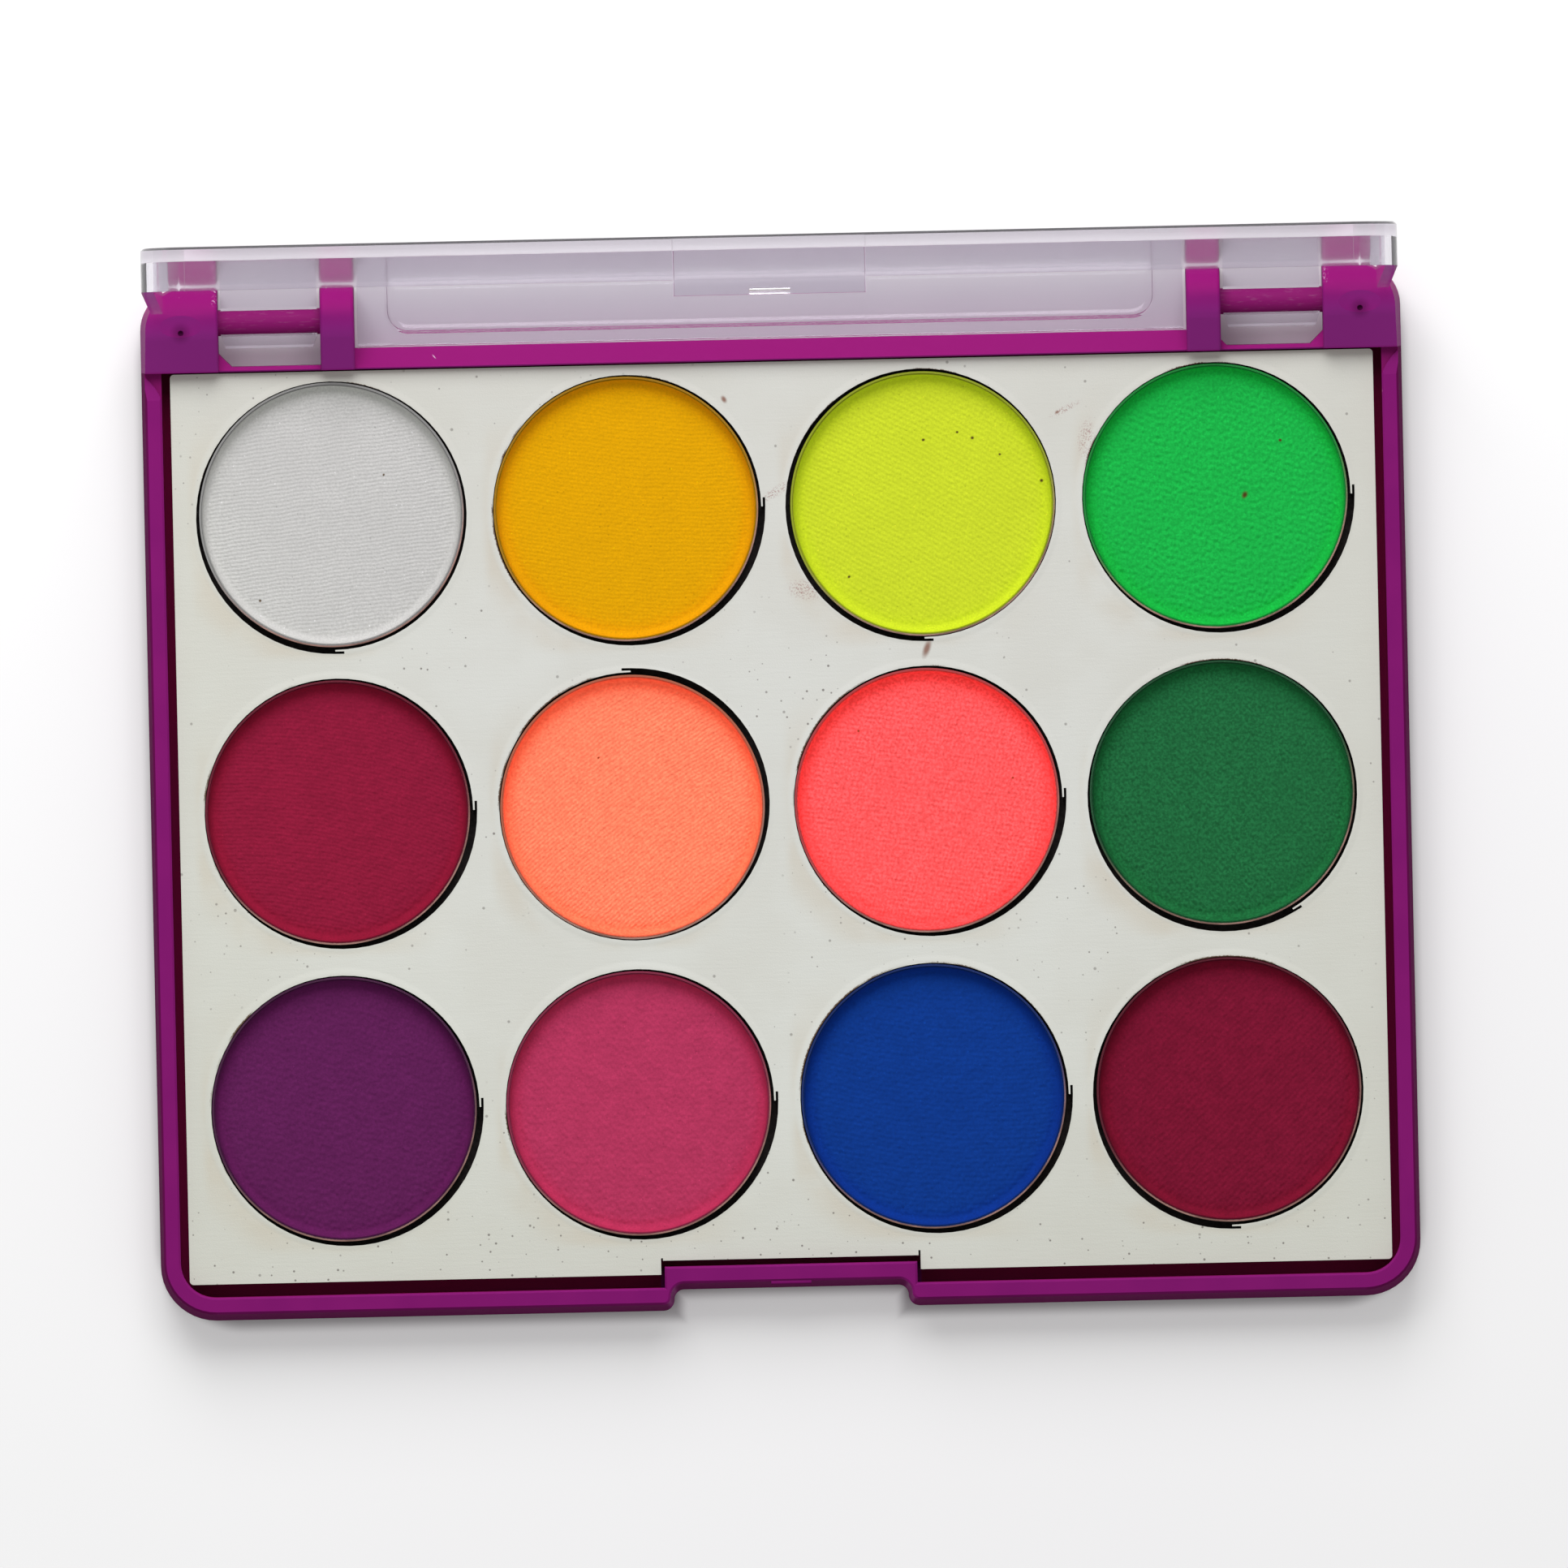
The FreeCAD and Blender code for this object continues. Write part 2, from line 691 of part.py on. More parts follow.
def make_lid():
    panel = stacked(
        lid_outline,
        [(0.0, panel_bottom), (0.0, panel_top - lid_chamfer), (lid_chamfer, panel_top)],
    )
    skirt = stacked(lid_outline, [(0.0, skirt_bottom), (0.0, panel_bottom)])
    hollow = stacked(lid_outline, [(skirt_wall, skirt_bottom), (skirt_wall, panel_bottom)])
    hinge_end = box(-case_half_width, case_half_width, skirt_end, case_back, skirt_bottom, panel_bottom)
    skirt = skirt.cut([hollow, hinge_end])
    lid = panel.fuse([skirt, make_back_bar(), make_catch()] + on_both_sides(make_clip()))
    lid = lid.removeSplitter()
    lid.rotate(point(0, hinge_y, hinge_height), X_AXIS, -lid_open_angle)
    return lid


parts = {
    "tray": make_tray(),
    "lid": make_lid(),
    "insert_board": make_board(),
    "backing_card": make_card(),
    "pan_adhesive": make_pads(),
}
for name, _, _, pan_centre in well_places():
    parts["pan_" + name] = make_pan(pan_centre)
    parts["powder_" + name] = make_powder(pan_centre)

os.makedirs("parts", exist_ok=True)
for name, shape in parts.items():
    shape.exportStep("parts/" + name + ".step")
    print(name, len(shape.Solids), "solids, valid", shape.isValid(), "volume", round(shape.Volume, 1))
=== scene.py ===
# %% [markdown]
# # A pressed-powder palette
# The real thing is a shallow purple tray with a clear lid. A laser-cut board in the tray holds twelve
# metal pans of pressed colour powder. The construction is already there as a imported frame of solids, so
# this lesson only adds looks: a camera, soft light, finishes for every surface, and finer powder cakes.

# %% Load the frame
import json
import math

import bmesh
import bpy
import numpy as np
from mathutils import Matrix, Vector


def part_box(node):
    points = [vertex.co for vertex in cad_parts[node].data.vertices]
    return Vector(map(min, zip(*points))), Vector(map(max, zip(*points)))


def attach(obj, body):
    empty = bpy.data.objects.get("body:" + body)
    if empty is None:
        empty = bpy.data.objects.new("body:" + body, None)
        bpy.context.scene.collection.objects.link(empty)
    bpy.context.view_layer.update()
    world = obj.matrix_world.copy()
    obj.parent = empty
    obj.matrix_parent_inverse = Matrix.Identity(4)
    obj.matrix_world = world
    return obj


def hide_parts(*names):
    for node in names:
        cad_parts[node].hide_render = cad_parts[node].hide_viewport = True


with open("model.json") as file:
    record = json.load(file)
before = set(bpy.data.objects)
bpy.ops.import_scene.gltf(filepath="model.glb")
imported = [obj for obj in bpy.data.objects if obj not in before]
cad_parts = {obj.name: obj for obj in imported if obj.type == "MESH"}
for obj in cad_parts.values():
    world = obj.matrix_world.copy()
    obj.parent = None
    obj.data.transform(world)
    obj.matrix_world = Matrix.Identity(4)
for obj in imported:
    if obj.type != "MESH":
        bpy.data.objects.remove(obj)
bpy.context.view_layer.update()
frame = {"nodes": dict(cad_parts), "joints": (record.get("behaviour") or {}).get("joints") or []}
MM = 0.001

# %% [markdown]
# ## Measures taken from the frame
# Patterns such as smoke round the holes have to line up with the solids. What the frame can tell is read
# from it once: where the pans stand, how high the board lies, and where the hinge is.

# %% Measures
SHADE_ROWS = [
    ["white", "amber", "lime", "green"],
    ["crimson", "salmon", "coral", "pine"],
    ["plum", "rose", "cobalt", "maroon"],
]
SHADES = [shade for row in SHADE_ROWS for shade in row]


def middle(node):
    """Centre of a node's box, in metres."""
    low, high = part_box(node)
    return (low + high) / 2.0


def size(node):
    """Edge lengths of a node's box, in metres."""
    low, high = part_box(node)
    return high - low


pan_radius = size("pan_white").x / 2.0
grid_left = sum(middle("pan_" + row[0]).x for row in SHADE_ROWS) / len(SHADE_ROWS)
grid_right = sum(middle("pan_" + row[-1]).x for row in SHADE_ROWS) / len(SHADE_ROWS)
grid_back = sum(middle("pan_" + shade).y for shade in SHADE_ROWS[0]) / len(SHADE_ROWS[0])
grid_front = sum(middle("pan_" + shade).y for shade in SHADE_ROWS[-1]) / len(SHADE_ROWS[-1])
pitch_x = (grid_right - grid_left) / (len(SHADE_ROWS[0]) - 1)
pitch_y = (grid_back - grid_front) / (len(SHADE_ROWS) - 1)
hinge = Vector(frame["joints"][0]["pos_m"])
board_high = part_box("insert_board")[1]
board_top = board_high.z
print("pan radius", round(pan_radius / MM, 2), "pitch", round(pitch_x / MM, 2), round(pitch_y / MM, 2))

# %% [markdown]
# ## Camera
# The palette is seen from above, turned a little. The lid stands upright, so a close camera would show it
# fanning out over the frame. A long lens from far away keeps the lid nearly edge-on, clear of the hinge.
# The camera is built from three directions at right angles, which are easier to reason about than angles.

# %% Camera
camera_place = Vector((0.0, 115.0 * MM, 6.0))
look_at = Vector((0.358 * MM, 1.902 * MM, board_top))
camera_roll = math.radians(1.256)
frame_width = 156.43 * MM
sensor_width = 36.0

forward = (look_at - camera_place).normalized()
level_right = forward.cross(Vector((0.0, 1.0, 0.0))).normalized()
level_up = level_right.cross(forward)
right = level_right * math.cos(camera_roll) - level_up * math.sin(camera_roll)
up = level_right * math.sin(camera_roll) + level_up * math.cos(camera_roll)

camera_data = bpy.data.cameras.new("studio_camera")
camera_data.sensor_width = sensor_width
camera_data.lens = sensor_width * (look_at - camera_place).length / frame_width
camera_data.clip_start = 0.05
camera_data.clip_end = 60.0
camera = bpy.data.objects.new("studio_camera", camera_data)
axes = Matrix((right, up, -forward)).transposed().to_4x4()
camera.matrix_world = Matrix.Translation(camera_place) @ axes
bpy.context.scene.collection.objects.link(camera)
bpy.context.scene.camera = camera
print("lens", round(camera_data.lens), "mm")

# %% [markdown]
# ## Building materials with nodes
# Every finish is a small node tree. It could be drawn by hand in the shader editor, but as code it can be
# measured and repeated. A few helpers keep that code short: one places a node and fills its sockets with
# values or links, some do arithmetic, one mixes colours, and some find the place on a surface.


# %% Node helpers
def place(tree, kind, inputs, **options):
    """Adds a node. Each input is a value to set or an output socket to link."""
    node = tree.nodes.new("ShaderNode" + kind)
    for option, value in options.items():
        setattr(node, option, value)
    fill(tree, node, inputs)
    return node


def fill(tree, node, inputs):
    """Links or sets the inputs of a node."""
    for name, value in inputs.items():
        if isinstance(value, bpy.types.NodeSocket):
            tree.links.new(value, node.inputs[name])
        else:
            node.inputs[name].default_value = value


def calc(tree, operation, *values):
    """Arithmetic on numbers or sockets."""
    return place(tree, "Math", dict(enumerate(values)), operation=operation).outputs[0]


def product(tree, *values):
    """All the values multiplied."""
    total = values[0]
    for value in values[1:]:
        total = calc(tree, "MULTIPLY", total, value)
    return total


def fade(tree, value, low, high):
    """0 where the value is at low, 1 at high, with a soft step between. Low may be the larger one."""
    inputs = {"Value": value, "From Min": low, "From Max": high}
    return place(tree, "MapRange", inputs, interpolation_type="SMOOTHSTEP").outputs["Result"]


def span(tree, value, low, high):
    """A value from 0 to 1 spread out from low to high."""
    return place(tree, "MapRange", {"Value": value, "To Min": low, "To Max": high}).outputs["Result"]


def blend(tree, share, first, second):
    """Mixes two colours: share 0 gives the first and 1 the second."""
    return place(tree, "Mix", {0: share, 6: first, 7: second}, data_type="RGBA").outputs[2]


print("helpers for arithmetic and mixing ready")


# %% Places on a surface
def millimetres(tree):
    """Object coordinates in millimetres, as a vector socket."""
    place_on_object = place(tree, "TexCoord", {}).outputs["Object"]
    scaled = place(tree, "VectorMath", {0: place_on_object, "Scale": 1.0 / MM}, operation="SCALE")
    return scaled.outputs["Vector"]


def split(tree, vector):
    """The X, Y and Z of a vector."""
    return place(tree, "SeparateXYZ", {0: vector}).outputs


def distance(tree, *lengths):
    """Length of the line whose runs along the axes are given."""
    squares = [calc(tree, "MULTIPLY", length, length) for length in lengths]
    total = squares[0]
    for square in squares[1:]:
        total = calc(tree, "ADD", total, square)
    return calc(tree, "SQRT", total)


def noise(tree, scale, detail, stretch=(1.0, 1.0, 1.0)):
    """Cloudy noise around 0.5. Scale is in waves per millimetre, once the axes have been stretched."""
    spread = place(tree, "VectorMath", {0: millimetres(tree), 1: stretch}, operation="MULTIPLY").outputs[0]
    return place(tree, "TexNoise", {"Vector": spread, "Scale": scale, "Detail": detail}).outputs["Fac"]


print("helpers for places on a surface ready")


# %% Materials and groups
def new_material(name):
    """An empty material with an output node."""
    material = bpy.data.materials.new(name)
    material.use_nodes = True
    tree = material.node_tree
    tree.nodes.clear()
    return material, tree, tree.nodes.new("ShaderNodeOutputMaterial")


def new_group(name, inputs, outputs):
    """An empty shader node group, with the names and values of its inputs and the names of its outputs."""
    group = bpy.data.node_groups.new(name, "ShaderNodeTree")
    for label, value in inputs.items():
        socket = group.interface.new_socket(name=label, in_out="INPUT", socket_type="NodeSocketFloat")
        socket.default_value = value
    for label in outputs:
        group.interface.new_socket(name=label, in_out="OUTPUT", socket_type="NodeSocketFloat")
    return group, group.nodes.new("NodeGroupInput").outputs, group.nodes.new("NodeGroupOutput").inputs


def use_group(tree, group, inputs):
    """Places a node group and returns its outputs."""
    node = tree.nodes.new("ShaderNodeGroup")
    node.node_tree = group
    fill(tree, node, inputs)
    return node.outputs


print("helpers for materials and groups ready")

# %% [markdown]
# ## Effects that several finishes share
# Plastic, paper and powder are all grainy, and all of them carry loose specks. Each effect is a node
# group with its own sizes as inputs, so that a finish only says how coarse or how dense it wants it.
# Grain is noise at two scales. Specks are cells of a Voronoi pattern, of which only a share is kept.

# %% Grain group
grain_group, given, result = new_group("grain", {"Size": 0.3, "Coarse size": 2.0}, ["Fine", "Coarse"])
tree = grain_group
fine_scale = calc(tree, "DIVIDE", 1.0, given["Size"])
coarse_scale = calc(tree, "DIVIDE", 1.0, given["Coarse size"])
tree.links.new(noise(tree, fine_scale, detail=3.0), result["Fine"])
tree.links.new(noise(tree, coarse_scale, detail=2.0), result["Coarse"])
print("group:", grain_group.name)

# %% Specks group
smallest_speck = 0.4
soft_edge_from = 0.5
specks_sizes = {"Spacing": 2.0, "Radius": 0.1, "Share": 0.3}
specks_group, given, result = new_group("specks", specks_sizes, ["Mask"])
tree = specks_group
cell_scale = calc(tree, "DIVIDE", 1.0, given["Spacing"])
cells = place(tree, "TexVoronoi", {"Vector": millimetres(tree), "Scale": cell_scale})
draw = place(tree, "SeparateColor", {"Color": cells.outputs["Color"]}).outputs
near = calc(tree, "MULTIPLY", cells.outputs["Distance"], given["Spacing"])
reach = calc(tree, "MULTIPLY", given["Radius"], calc(tree, "ADD", draw["Green"], smallest_speck))
inside = fade(tree, near, reach, calc(tree, "MULTIPLY", reach, soft_edge_from))
kept = calc(tree, "LESS_THAN", draw["Red"], given["Share"])
tree.links.new(product(tree, inside, kept), result["Mask"])
print("group:", specks_group.name)

# %% [markdown]
# ## Light and floor
# About three fifths of the light come from a large soft lamp behind the palette, and the rest from an even
# sky. The lamp keeps the powder's imprint and its hollow edges visible, and the sky softens the shadows of
# the hinge. The lamp's power is worked out from how bright it should make a white card lying flat, so that
# colours render nearly as they are written. The floor glows faintly for the camera, except under the
# palette, so that it looks white all over and still takes the palette's shadow.

# %% Light
SKY_LEVEL = 0.44


def soft_lamp(name, bearing, elevation, away, width, level):
    """Square area lamp aimed at the palette. Level is the brightness of a flat white card."""
    lamp = bpy.data.lights.new(name, "AREA")
    lamp.size = width
    lamp.energy = level * (math.pi * away) ** 2 / math.sin(math.radians(elevation))
    lamp_object = bpy.data.objects.new(name, lamp)
    turn = math.radians(bearing)
    rise = math.radians(elevation)
    across = math.cos(rise) * away
    place_at = Vector((math.cos(turn) * across, math.sin(turn) * across, math.sin(rise) * away))
    lamp_object.location = place_at
    lamp_object.rotation_euler = place_at.to_track_quat("Z", "Y").to_euler()
    bpy.context.scene.collection.objects.link(lamp_object)
    print("lamp", name, round(lamp.energy, 4), "W")


soft_lamp("back_lamp", bearing=97.0, elevation=42.0, away=0.5, width=0.4, level=0.72)
world = bpy.data.worlds.new("studio")
world.use_nodes = True
world.node_tree.nodes["Background"].inputs["Color"].default_value = (1.0, 1.0, 1.0, 1.0)
world.node_tree.nodes["Background"].inputs["Strength"].default_value = SKY_LEVEL
bpy.context.scene.world = world
bpy.context.scene.view_settings.view_transform = "Standard"

# %% Plan of the case
case_middle_y = 1.0
case_half_width = 62.4
case_half_depth = 51.6
case_corner = 8.0
notch_half_width = 11.7
notch_face = -48.3


def past_case(tree, spot):
    """Distance outside the plan of the case: a rounded rectangle with the thumb notch cut out."""
    from_middle_x = calc(tree, "ABSOLUTE", spot["X"])
    from_middle_y = calc(tree, "ABSOLUTE", calc(tree, "SUBTRACT", spot["Y"], case_middle_y))
    beside = calc(tree, "SUBTRACT", from_middle_x, case_half_width - case_corner)
    beyond = calc(tree, "SUBTRACT", from_middle_y, case_half_depth - case_corner)
    to_core = distance(tree, calc(tree, "MAXIMUM", beside, 0.0), calc(tree, "MAXIMUM", beyond, 0.0))
    outside = calc(tree, "SUBTRACT", to_core, case_corner)
    from_notch_side = calc(tree, "SUBTRACT", notch_half_width, from_middle_x)
    in_notch = calc(tree, "MINIMUM", from_notch_side, calc(tree, "SUBTRACT", notch_face, spot["Y"]))
    return calc(tree, "MAXIMUM", outside, in_notch)


print("plan of the case:", 2.0 * case_half_width, "by", 2.0 * case_half_depth, "mm")

# %% Floor
floor_width = 40.0
floor_below = 0.05 * MM
floor_grey = 0.72
near_glow = 0.26
far_glow = 0.7
glow_margin = 1.5
glow_rises = (20.0, 400.0)

floor_mesh = bpy.data.meshes.new("floor")
shape = bmesh.new()
bmesh.ops.create_grid(shape, x_segments=1, y_segments=1, size=floor_width / 2.0)
bmesh.ops.translate(shape, verts=shape.verts, vec=(0.0, 0.0, -floor_below))
shape.to_mesh(floor_mesh)
shape.free()
floor = bpy.data.objects.new("floor", floor_mesh)
bpy.context.scene.collection.objects.link(floor)

material, tree, output = new_material("white_sweep")
path = place(tree, "LightPath", {}).outputs
seen = calc(tree, "MAXIMUM", path["Is Camera Ray"], path["Is Glossy Ray"])
seen = calc(tree, "MAXIMUM", seen, path["Is Transmission Ray"])
outside = past_case(tree, split(tree, millimetres(tree)))
rising = span(tree, fade(tree, outside, *glow_rises), near_glow, far_glow)
glow_level = product(tree, seen, fade(tree, outside, 0.0, glow_margin), rising)
matt = place(tree, "BsdfDiffuse", {"Color": (floor_grey, floor_grey, floor_grey, 1.0)})
glow = place(tree, "Emission", {"Strength": glow_level})
both = place(tree, "AddShader", {0: matt.outputs[0], 1: glow.outputs[0]})
tree.links.new(both.outputs[0], output.inputs["Surface"])
floor_mesh.materials.append(material)
print("floor", floor_width, "m wide")

# %% [markdown]
# ## Purple tray
# The tray is moulded in a satin purple plastic. Light shines a little through its back edges; this is painted
# light, a rosier colour on hinge faces that lean back toward the lamp, and slopes that lean to the front get
# a painted bluish sheen. Down in the gaps beside the board the plastic carries a dark red painted shade, and
# the outer walls are painted darker than the rim as shade. The pins are rubbed dull, each block is darker
# round its moulding pit, there are pale burrs beside the clips, and specks of powder lie on the rim. All of
# these are masks in Object coordinates, in millimetres, so they stay with the tray. Colours are written as
# the screen shows them, and are turned into the linear light that the renderer works with.


# %% Tray colours
def linear(red, green, blue):
    """A screen colour, 0 to 255, as linear light with full opacity."""
    channels = []
    for value in (red, green, blue):
        value = value / 255.0
        low = value / 12.92
        high = ((value + 0.055) / 1.055) ** 2.4
        channels.append(low if value <= 0.04045 else high)
    return (*channels, 1.0)


PURPLE = linear(132, 23, 110)
PURPLE_DEEP = linear(127, 21, 107)
# Painted light: rosier purple for hinge faces that lean back toward the lamp.
MAGENTA_LIT = linear(145, 18, 111)
# Painted light: bluish sheen for hinge slopes that lean to the front.
LAVENDER_SHEEN = linear(138, 40, 127)
# Painted shade: darker purple for the outer walls.
PAINTED_WALL_SHADE = linear(80, 8, 54)
# Painted shade: dark red for the gaps beside the board.
PAINTED_GAP_SHADE = linear(142, 16, 74)
PIN_PURPLE = linear(132, 24, 100)
PIT_DARK = linear(72, 8, 58)
SCUFF = linear(226, 190, 220)
PINK_DUST = linear(205, 120, 165)
print("purple in linear light:", [round(channel, 3) for channel in PURPLE[:3]])

# %% Places on the tray
# A pair of lengths says where a mask begins and where it is full. Only pin_from_side gives a pin's two ends.
rim_top = 5.8
board_back = board_high.y / MM
rail_from = board_back + 0.2
hinge_from = (board_back + 0.1, board_back + 0.4)
gap_shade_depths = (rim_top - 0.2, board_top / MM - 0.4)
wall_turns = (20.0, 40.0)
wall_dulling = 0.35
notch_side_end = notch_half_width + 1.3
notch_back_end = notch_face + 2.1
pin_reach = 1.35
pin_from_side = (44.92, 55.08)
pit_from_side = 58.8
pit_before_axis = 0.9
pit_darkening = (1.3, 0.15)
burr_from_side = 55.4
burr_width = (0.4, 0.1)
burr_back = (50.6, 51.4)
TICK = {"centre": (-33.6, 45.3), "bearing": -50.0, "length": 0.7, "width": 0.16}
print("rim", rim_top, "mm over the table, board ends at", round(board_back, 2), "mm")


# %% Tray shades
def tint(tree, colour, tone, *masks, strength):
    """Lays a tone over a colour where all the masks are 1. Strength 1 hides the colour there."""
    return blend(tree, product(tree, *masks, strength), colour, tone)


def tray_painted_shading(tree, spot, side, on_hinge, colour):
    """Painted shade in gaps and on outer walls, painted light on the hinge; also returns the walls' mask."""
    facing = split(tree, place(tree, "NewGeometry", {}).outputs["Normal"])
    turned_x = calc(tree, "MULTIPLY", spot["X"], facing["X"])
    outward = calc(tree, "MULTIPLY_ADD", spot["Y"], facing["Y"], turned_x)
    outer_wall = fade(tree, outward, *wall_turns)
    before_rail = calc(tree, "LESS_THAN", spot["Y"], rail_from)
    walls = product(tree, outer_wall, before_rail)
    beside_notch = calc(tree, "LESS_THAN", side, notch_side_end)
    by_notch = product(tree, beside_notch, calc(tree, "LESS_THAN", spot["Y"], notch_back_end))
    inner = calc(tree, "SUBTRACT", 1.0, calc(tree, "MAXIMUM", outer_wall, by_notch))
    low = fade(tree, spot["Z"], *gap_shade_depths)
    # Painted shade: dark red low in the gaps beside the board.
    colour = blend(tree, product(tree, before_rail, low, inner), colour, PAINTED_GAP_SHADE)
    # Painted shade: the outer walls are darkened.
    colour = tint(tree, colour, PAINTED_WALL_SHADE, walls, strength=0.7)
    # Painted light: hinge faces that lean back toward the lamp turn rosier.
    leans_back = fade(tree, facing["Y"], 0.05, 0.5)
    colour = blend(tree, product(tree, on_hinge, leans_back), colour, MAGENTA_LIT)
    # Painted light: hinge slopes that lean to the front get a bluish sheen.
    leans_to_front = fade(tree, facing["Y"], 0.2, -0.45)
    colour = blend(tree, product(tree, on_hinge, leans_to_front), colour, LAVENDER_SHEEN)
    return colour, walls


print("shades for gaps, walls and hinge ready")


# %% Tray wear
def streak(tree, x, y, centre, bearing, length, width):
    """Soft oval mask on a level surface: its centre in millimetres, and the bearing of its length."""
    turn = math.radians(bearing)
    from_x = calc(tree, "SUBTRACT", x, centre[0])
    from_y = calc(tree, "SUBTRACT", y, centre[1])
    along = calc(tree, "MULTIPLY_ADD", from_y, math.sin(turn), calc(tree, "MULTIPLY", from_x, math.cos(turn)))
    over = calc(tree, "MULTIPLY_ADD", from_y, math.cos(turn), calc(tree, "MULTIPLY", from_x, -math.sin(turn)))
    reach = distance(
        tree, calc(tree, "DIVIDE", along, length / 2.0), calc(tree, "DIVIDE", over, width / 2.0)
    )
    return fade(tree, reach, 1.0, 0.2)


def pin_mask(tree, spot, side):
    """1 on the two hinge pins."""
    from_y = calc(tree, "SUBTRACT", spot["Y"], hinge.y / MM)
    from_z = calc(tree, "SUBTRACT", spot["Z"], hinge.z / MM)
    round_axis = calc(tree, "LESS_THAN", distance(tree, from_y, from_z), pin_reach)
    after = calc(tree, "GREATER_THAN", side, pin_from_side[0])
    before = calc(tree, "LESS_THAN", side, pin_from_side[1])
    return product(tree, round_axis, after, before)


def tray_wear(tree, spot, side, on_hinge, fine, colour):
    """Rubbed pins, darkening round the pits, burrs by the clips, a tick and dust. Also returns a mask of the
    rubbing.
    """
    on_pin = pin_mask(tree, spot, side)
    colour = blend(tree, on_pin, colour, PIN_PURPLE)
    scratches = noise(tree, scale=1.6, detail=4.0, stretch=(0.5, 3.0, 1.0))
    rubbed = product(tree, fade(tree, scratches, 0.55, 0.72), on_pin)
    colour = tint(tree, colour, SCUFF, rubbed, strength=0.07)
    pit_x = calc(tree, "SUBTRACT", side, pit_from_side)
    pit_y = calc(tree, "SUBTRACT", spot["Y"], hinge.y / MM - pit_before_axis)
    by_pit = fade(tree, distance(tree, pit_x, pit_y), *pit_darkening)
    colour = tint(tree, colour, PIT_DARK, by_pit, on_hinge, strength=0.55)
    from_burr = calc(tree, "ABSOLUTE", calc(tree, "SUBTRACT", side, burr_from_side))
    burr = product(tree, fade(tree, from_burr, *burr_width), fade(tree, spot["Y"], *burr_back))
    colour = tint(tree, colour, SCUFF, burr, fade(tree, fine, 0.56, 0.68), strength=0.7)
    colour = tint(tree, colour, SCUFF, streak(tree, spot["X"], spot["Y"], **TICK), strength=0.8)
    dust = use_group(tree, specks_group, {"Spacing": 1.9, "Radius": 0.11, "Share": 0.1})["Mask"]
    colour = tint(tree, colour, PINK_DUST, dust, strength=0.45)
    return colour, rubbed


print("pins run from", pin_from_side[0], "to", pin_from_side[1], "mm")


# %% Tray finish
def relief(tree, height, depth, strength=1.0):
    """A bumped normal, for grain that is too fine to model."""
    return place(tree, "Bump", {"Height": height, "Distance": depth, "Strength": strength}).outputs[0]


def surface(tree, output, inputs):
    """Makes a Principled surface and links it to the material's output."""
    shader = place(tree, "BsdfPrincipled", inputs)
    tree.links.new(shader.outputs[0], output.inputs["Surface"])


def give(node, material):
    """Puts one material on a node of the frame."""
    slots = frame["nodes"][node].data.materials
    slots.clear()
    slots.append(material)


def tray_plastic():
    material, tree, output = new_material("tray_plastic")
    spot = split(tree, millimetres(tree))
    side = calc(tree, "ABSOLUTE", spot["X"])
    on_hinge = fade(tree, spot["Y"], *hinge_from)
    grain = use_group(tree, grain_group, {"Size": 0.2, "Coarse size": 6.0})
    fine = grain["Fine"]
    colour = blend(tree, fade(tree, grain["Coarse"], 0.3, 0.7), PURPLE_DEEP, PURPLE)
    colour, walls = tray_painted_shading(tree, spot, side, on_hinge, colour)
    colour, rubbed = tray_wear(tree, spot, side, on_hinge, fine, colour)
    satin = span(tree, fine, 0.48, 0.62)
    inputs = {
        "Base Color": colour,
        "Roughness": calc(tree, "MULTIPLY_ADD", walls, wall_dulling, satin),
        "Specular IOR Level": 0.05,
        "Normal": relief(tree, calc(tree, "ADD", fine, rubbed), depth=0.01 * MM, strength=0.6),
    }
    surface(tree, output, inputs)
    return material


give("tray", tray_plastic())
print("tray finished")

# %% [markdown]
# ## Clear lid
# The lid is a clear moulding with a lavender-grey cast, which also stands in for the shaded ground seen
# through it, as painted shade. Real refraction through the solid makes its edges bright and dark, as on the
# real one. A lamp cannot shine straight through refracting faces, so the material lets shadow rays, and rays
# that come from matt surfaces, pass with a small loss. The board behind the lid then stays lit, and no light
# is counted twice.

# %% Lid finish
# The cast is partly painted shade, for the shaded ground seen through the lid.
CLEAR_CAST_AND_SHADE = linear(236, 233, 239)
CLEAR_CAST_AND_SHADE_DEEP = linear(230, 226, 234)
LID_SHADOW = linear(244, 242, 245)


def clear_plastic():
    material, tree, output = new_material("clear_plastic")
    grain = use_group(tree, grain_group, {"Size": 0.4, "Coarse size": 9.0})
    inputs = {
        "Base Color": blend(tree, grain["Coarse"], CLEAR_CAST_AND_SHADE, CLEAR_CAST_AND_SHADE_DEEP),
        "Roughness": span(tree, grain["Fine"], 0.02, 0.05),
        "IOR": 1.5,
        "Transmission Weight": 0.97,
        "Normal": relief(tree, grain["Coarse"], depth=0.02 * MM, strength=0.5),
    }
    shader = place(tree, "BsdfPrincipled", inputs)
    let_through = place(tree, "BsdfTransparent", {"Color": LID_SHADOW})
    path = place(tree, "LightPath", {}).outputs
    straight = calc(tree, "MAXIMUM", path["Is Shadow Ray"], path["Is Diffuse Ray"])
    either = place(tree, "MixShader", {0: straight, 1: shader.outputs[0], 2: let_through.outputs[0]})
    tree.links.new(either.outputs[0], output.inputs["Surface"])
    return material


give("lid", clear_plastic())
print("lid finished")

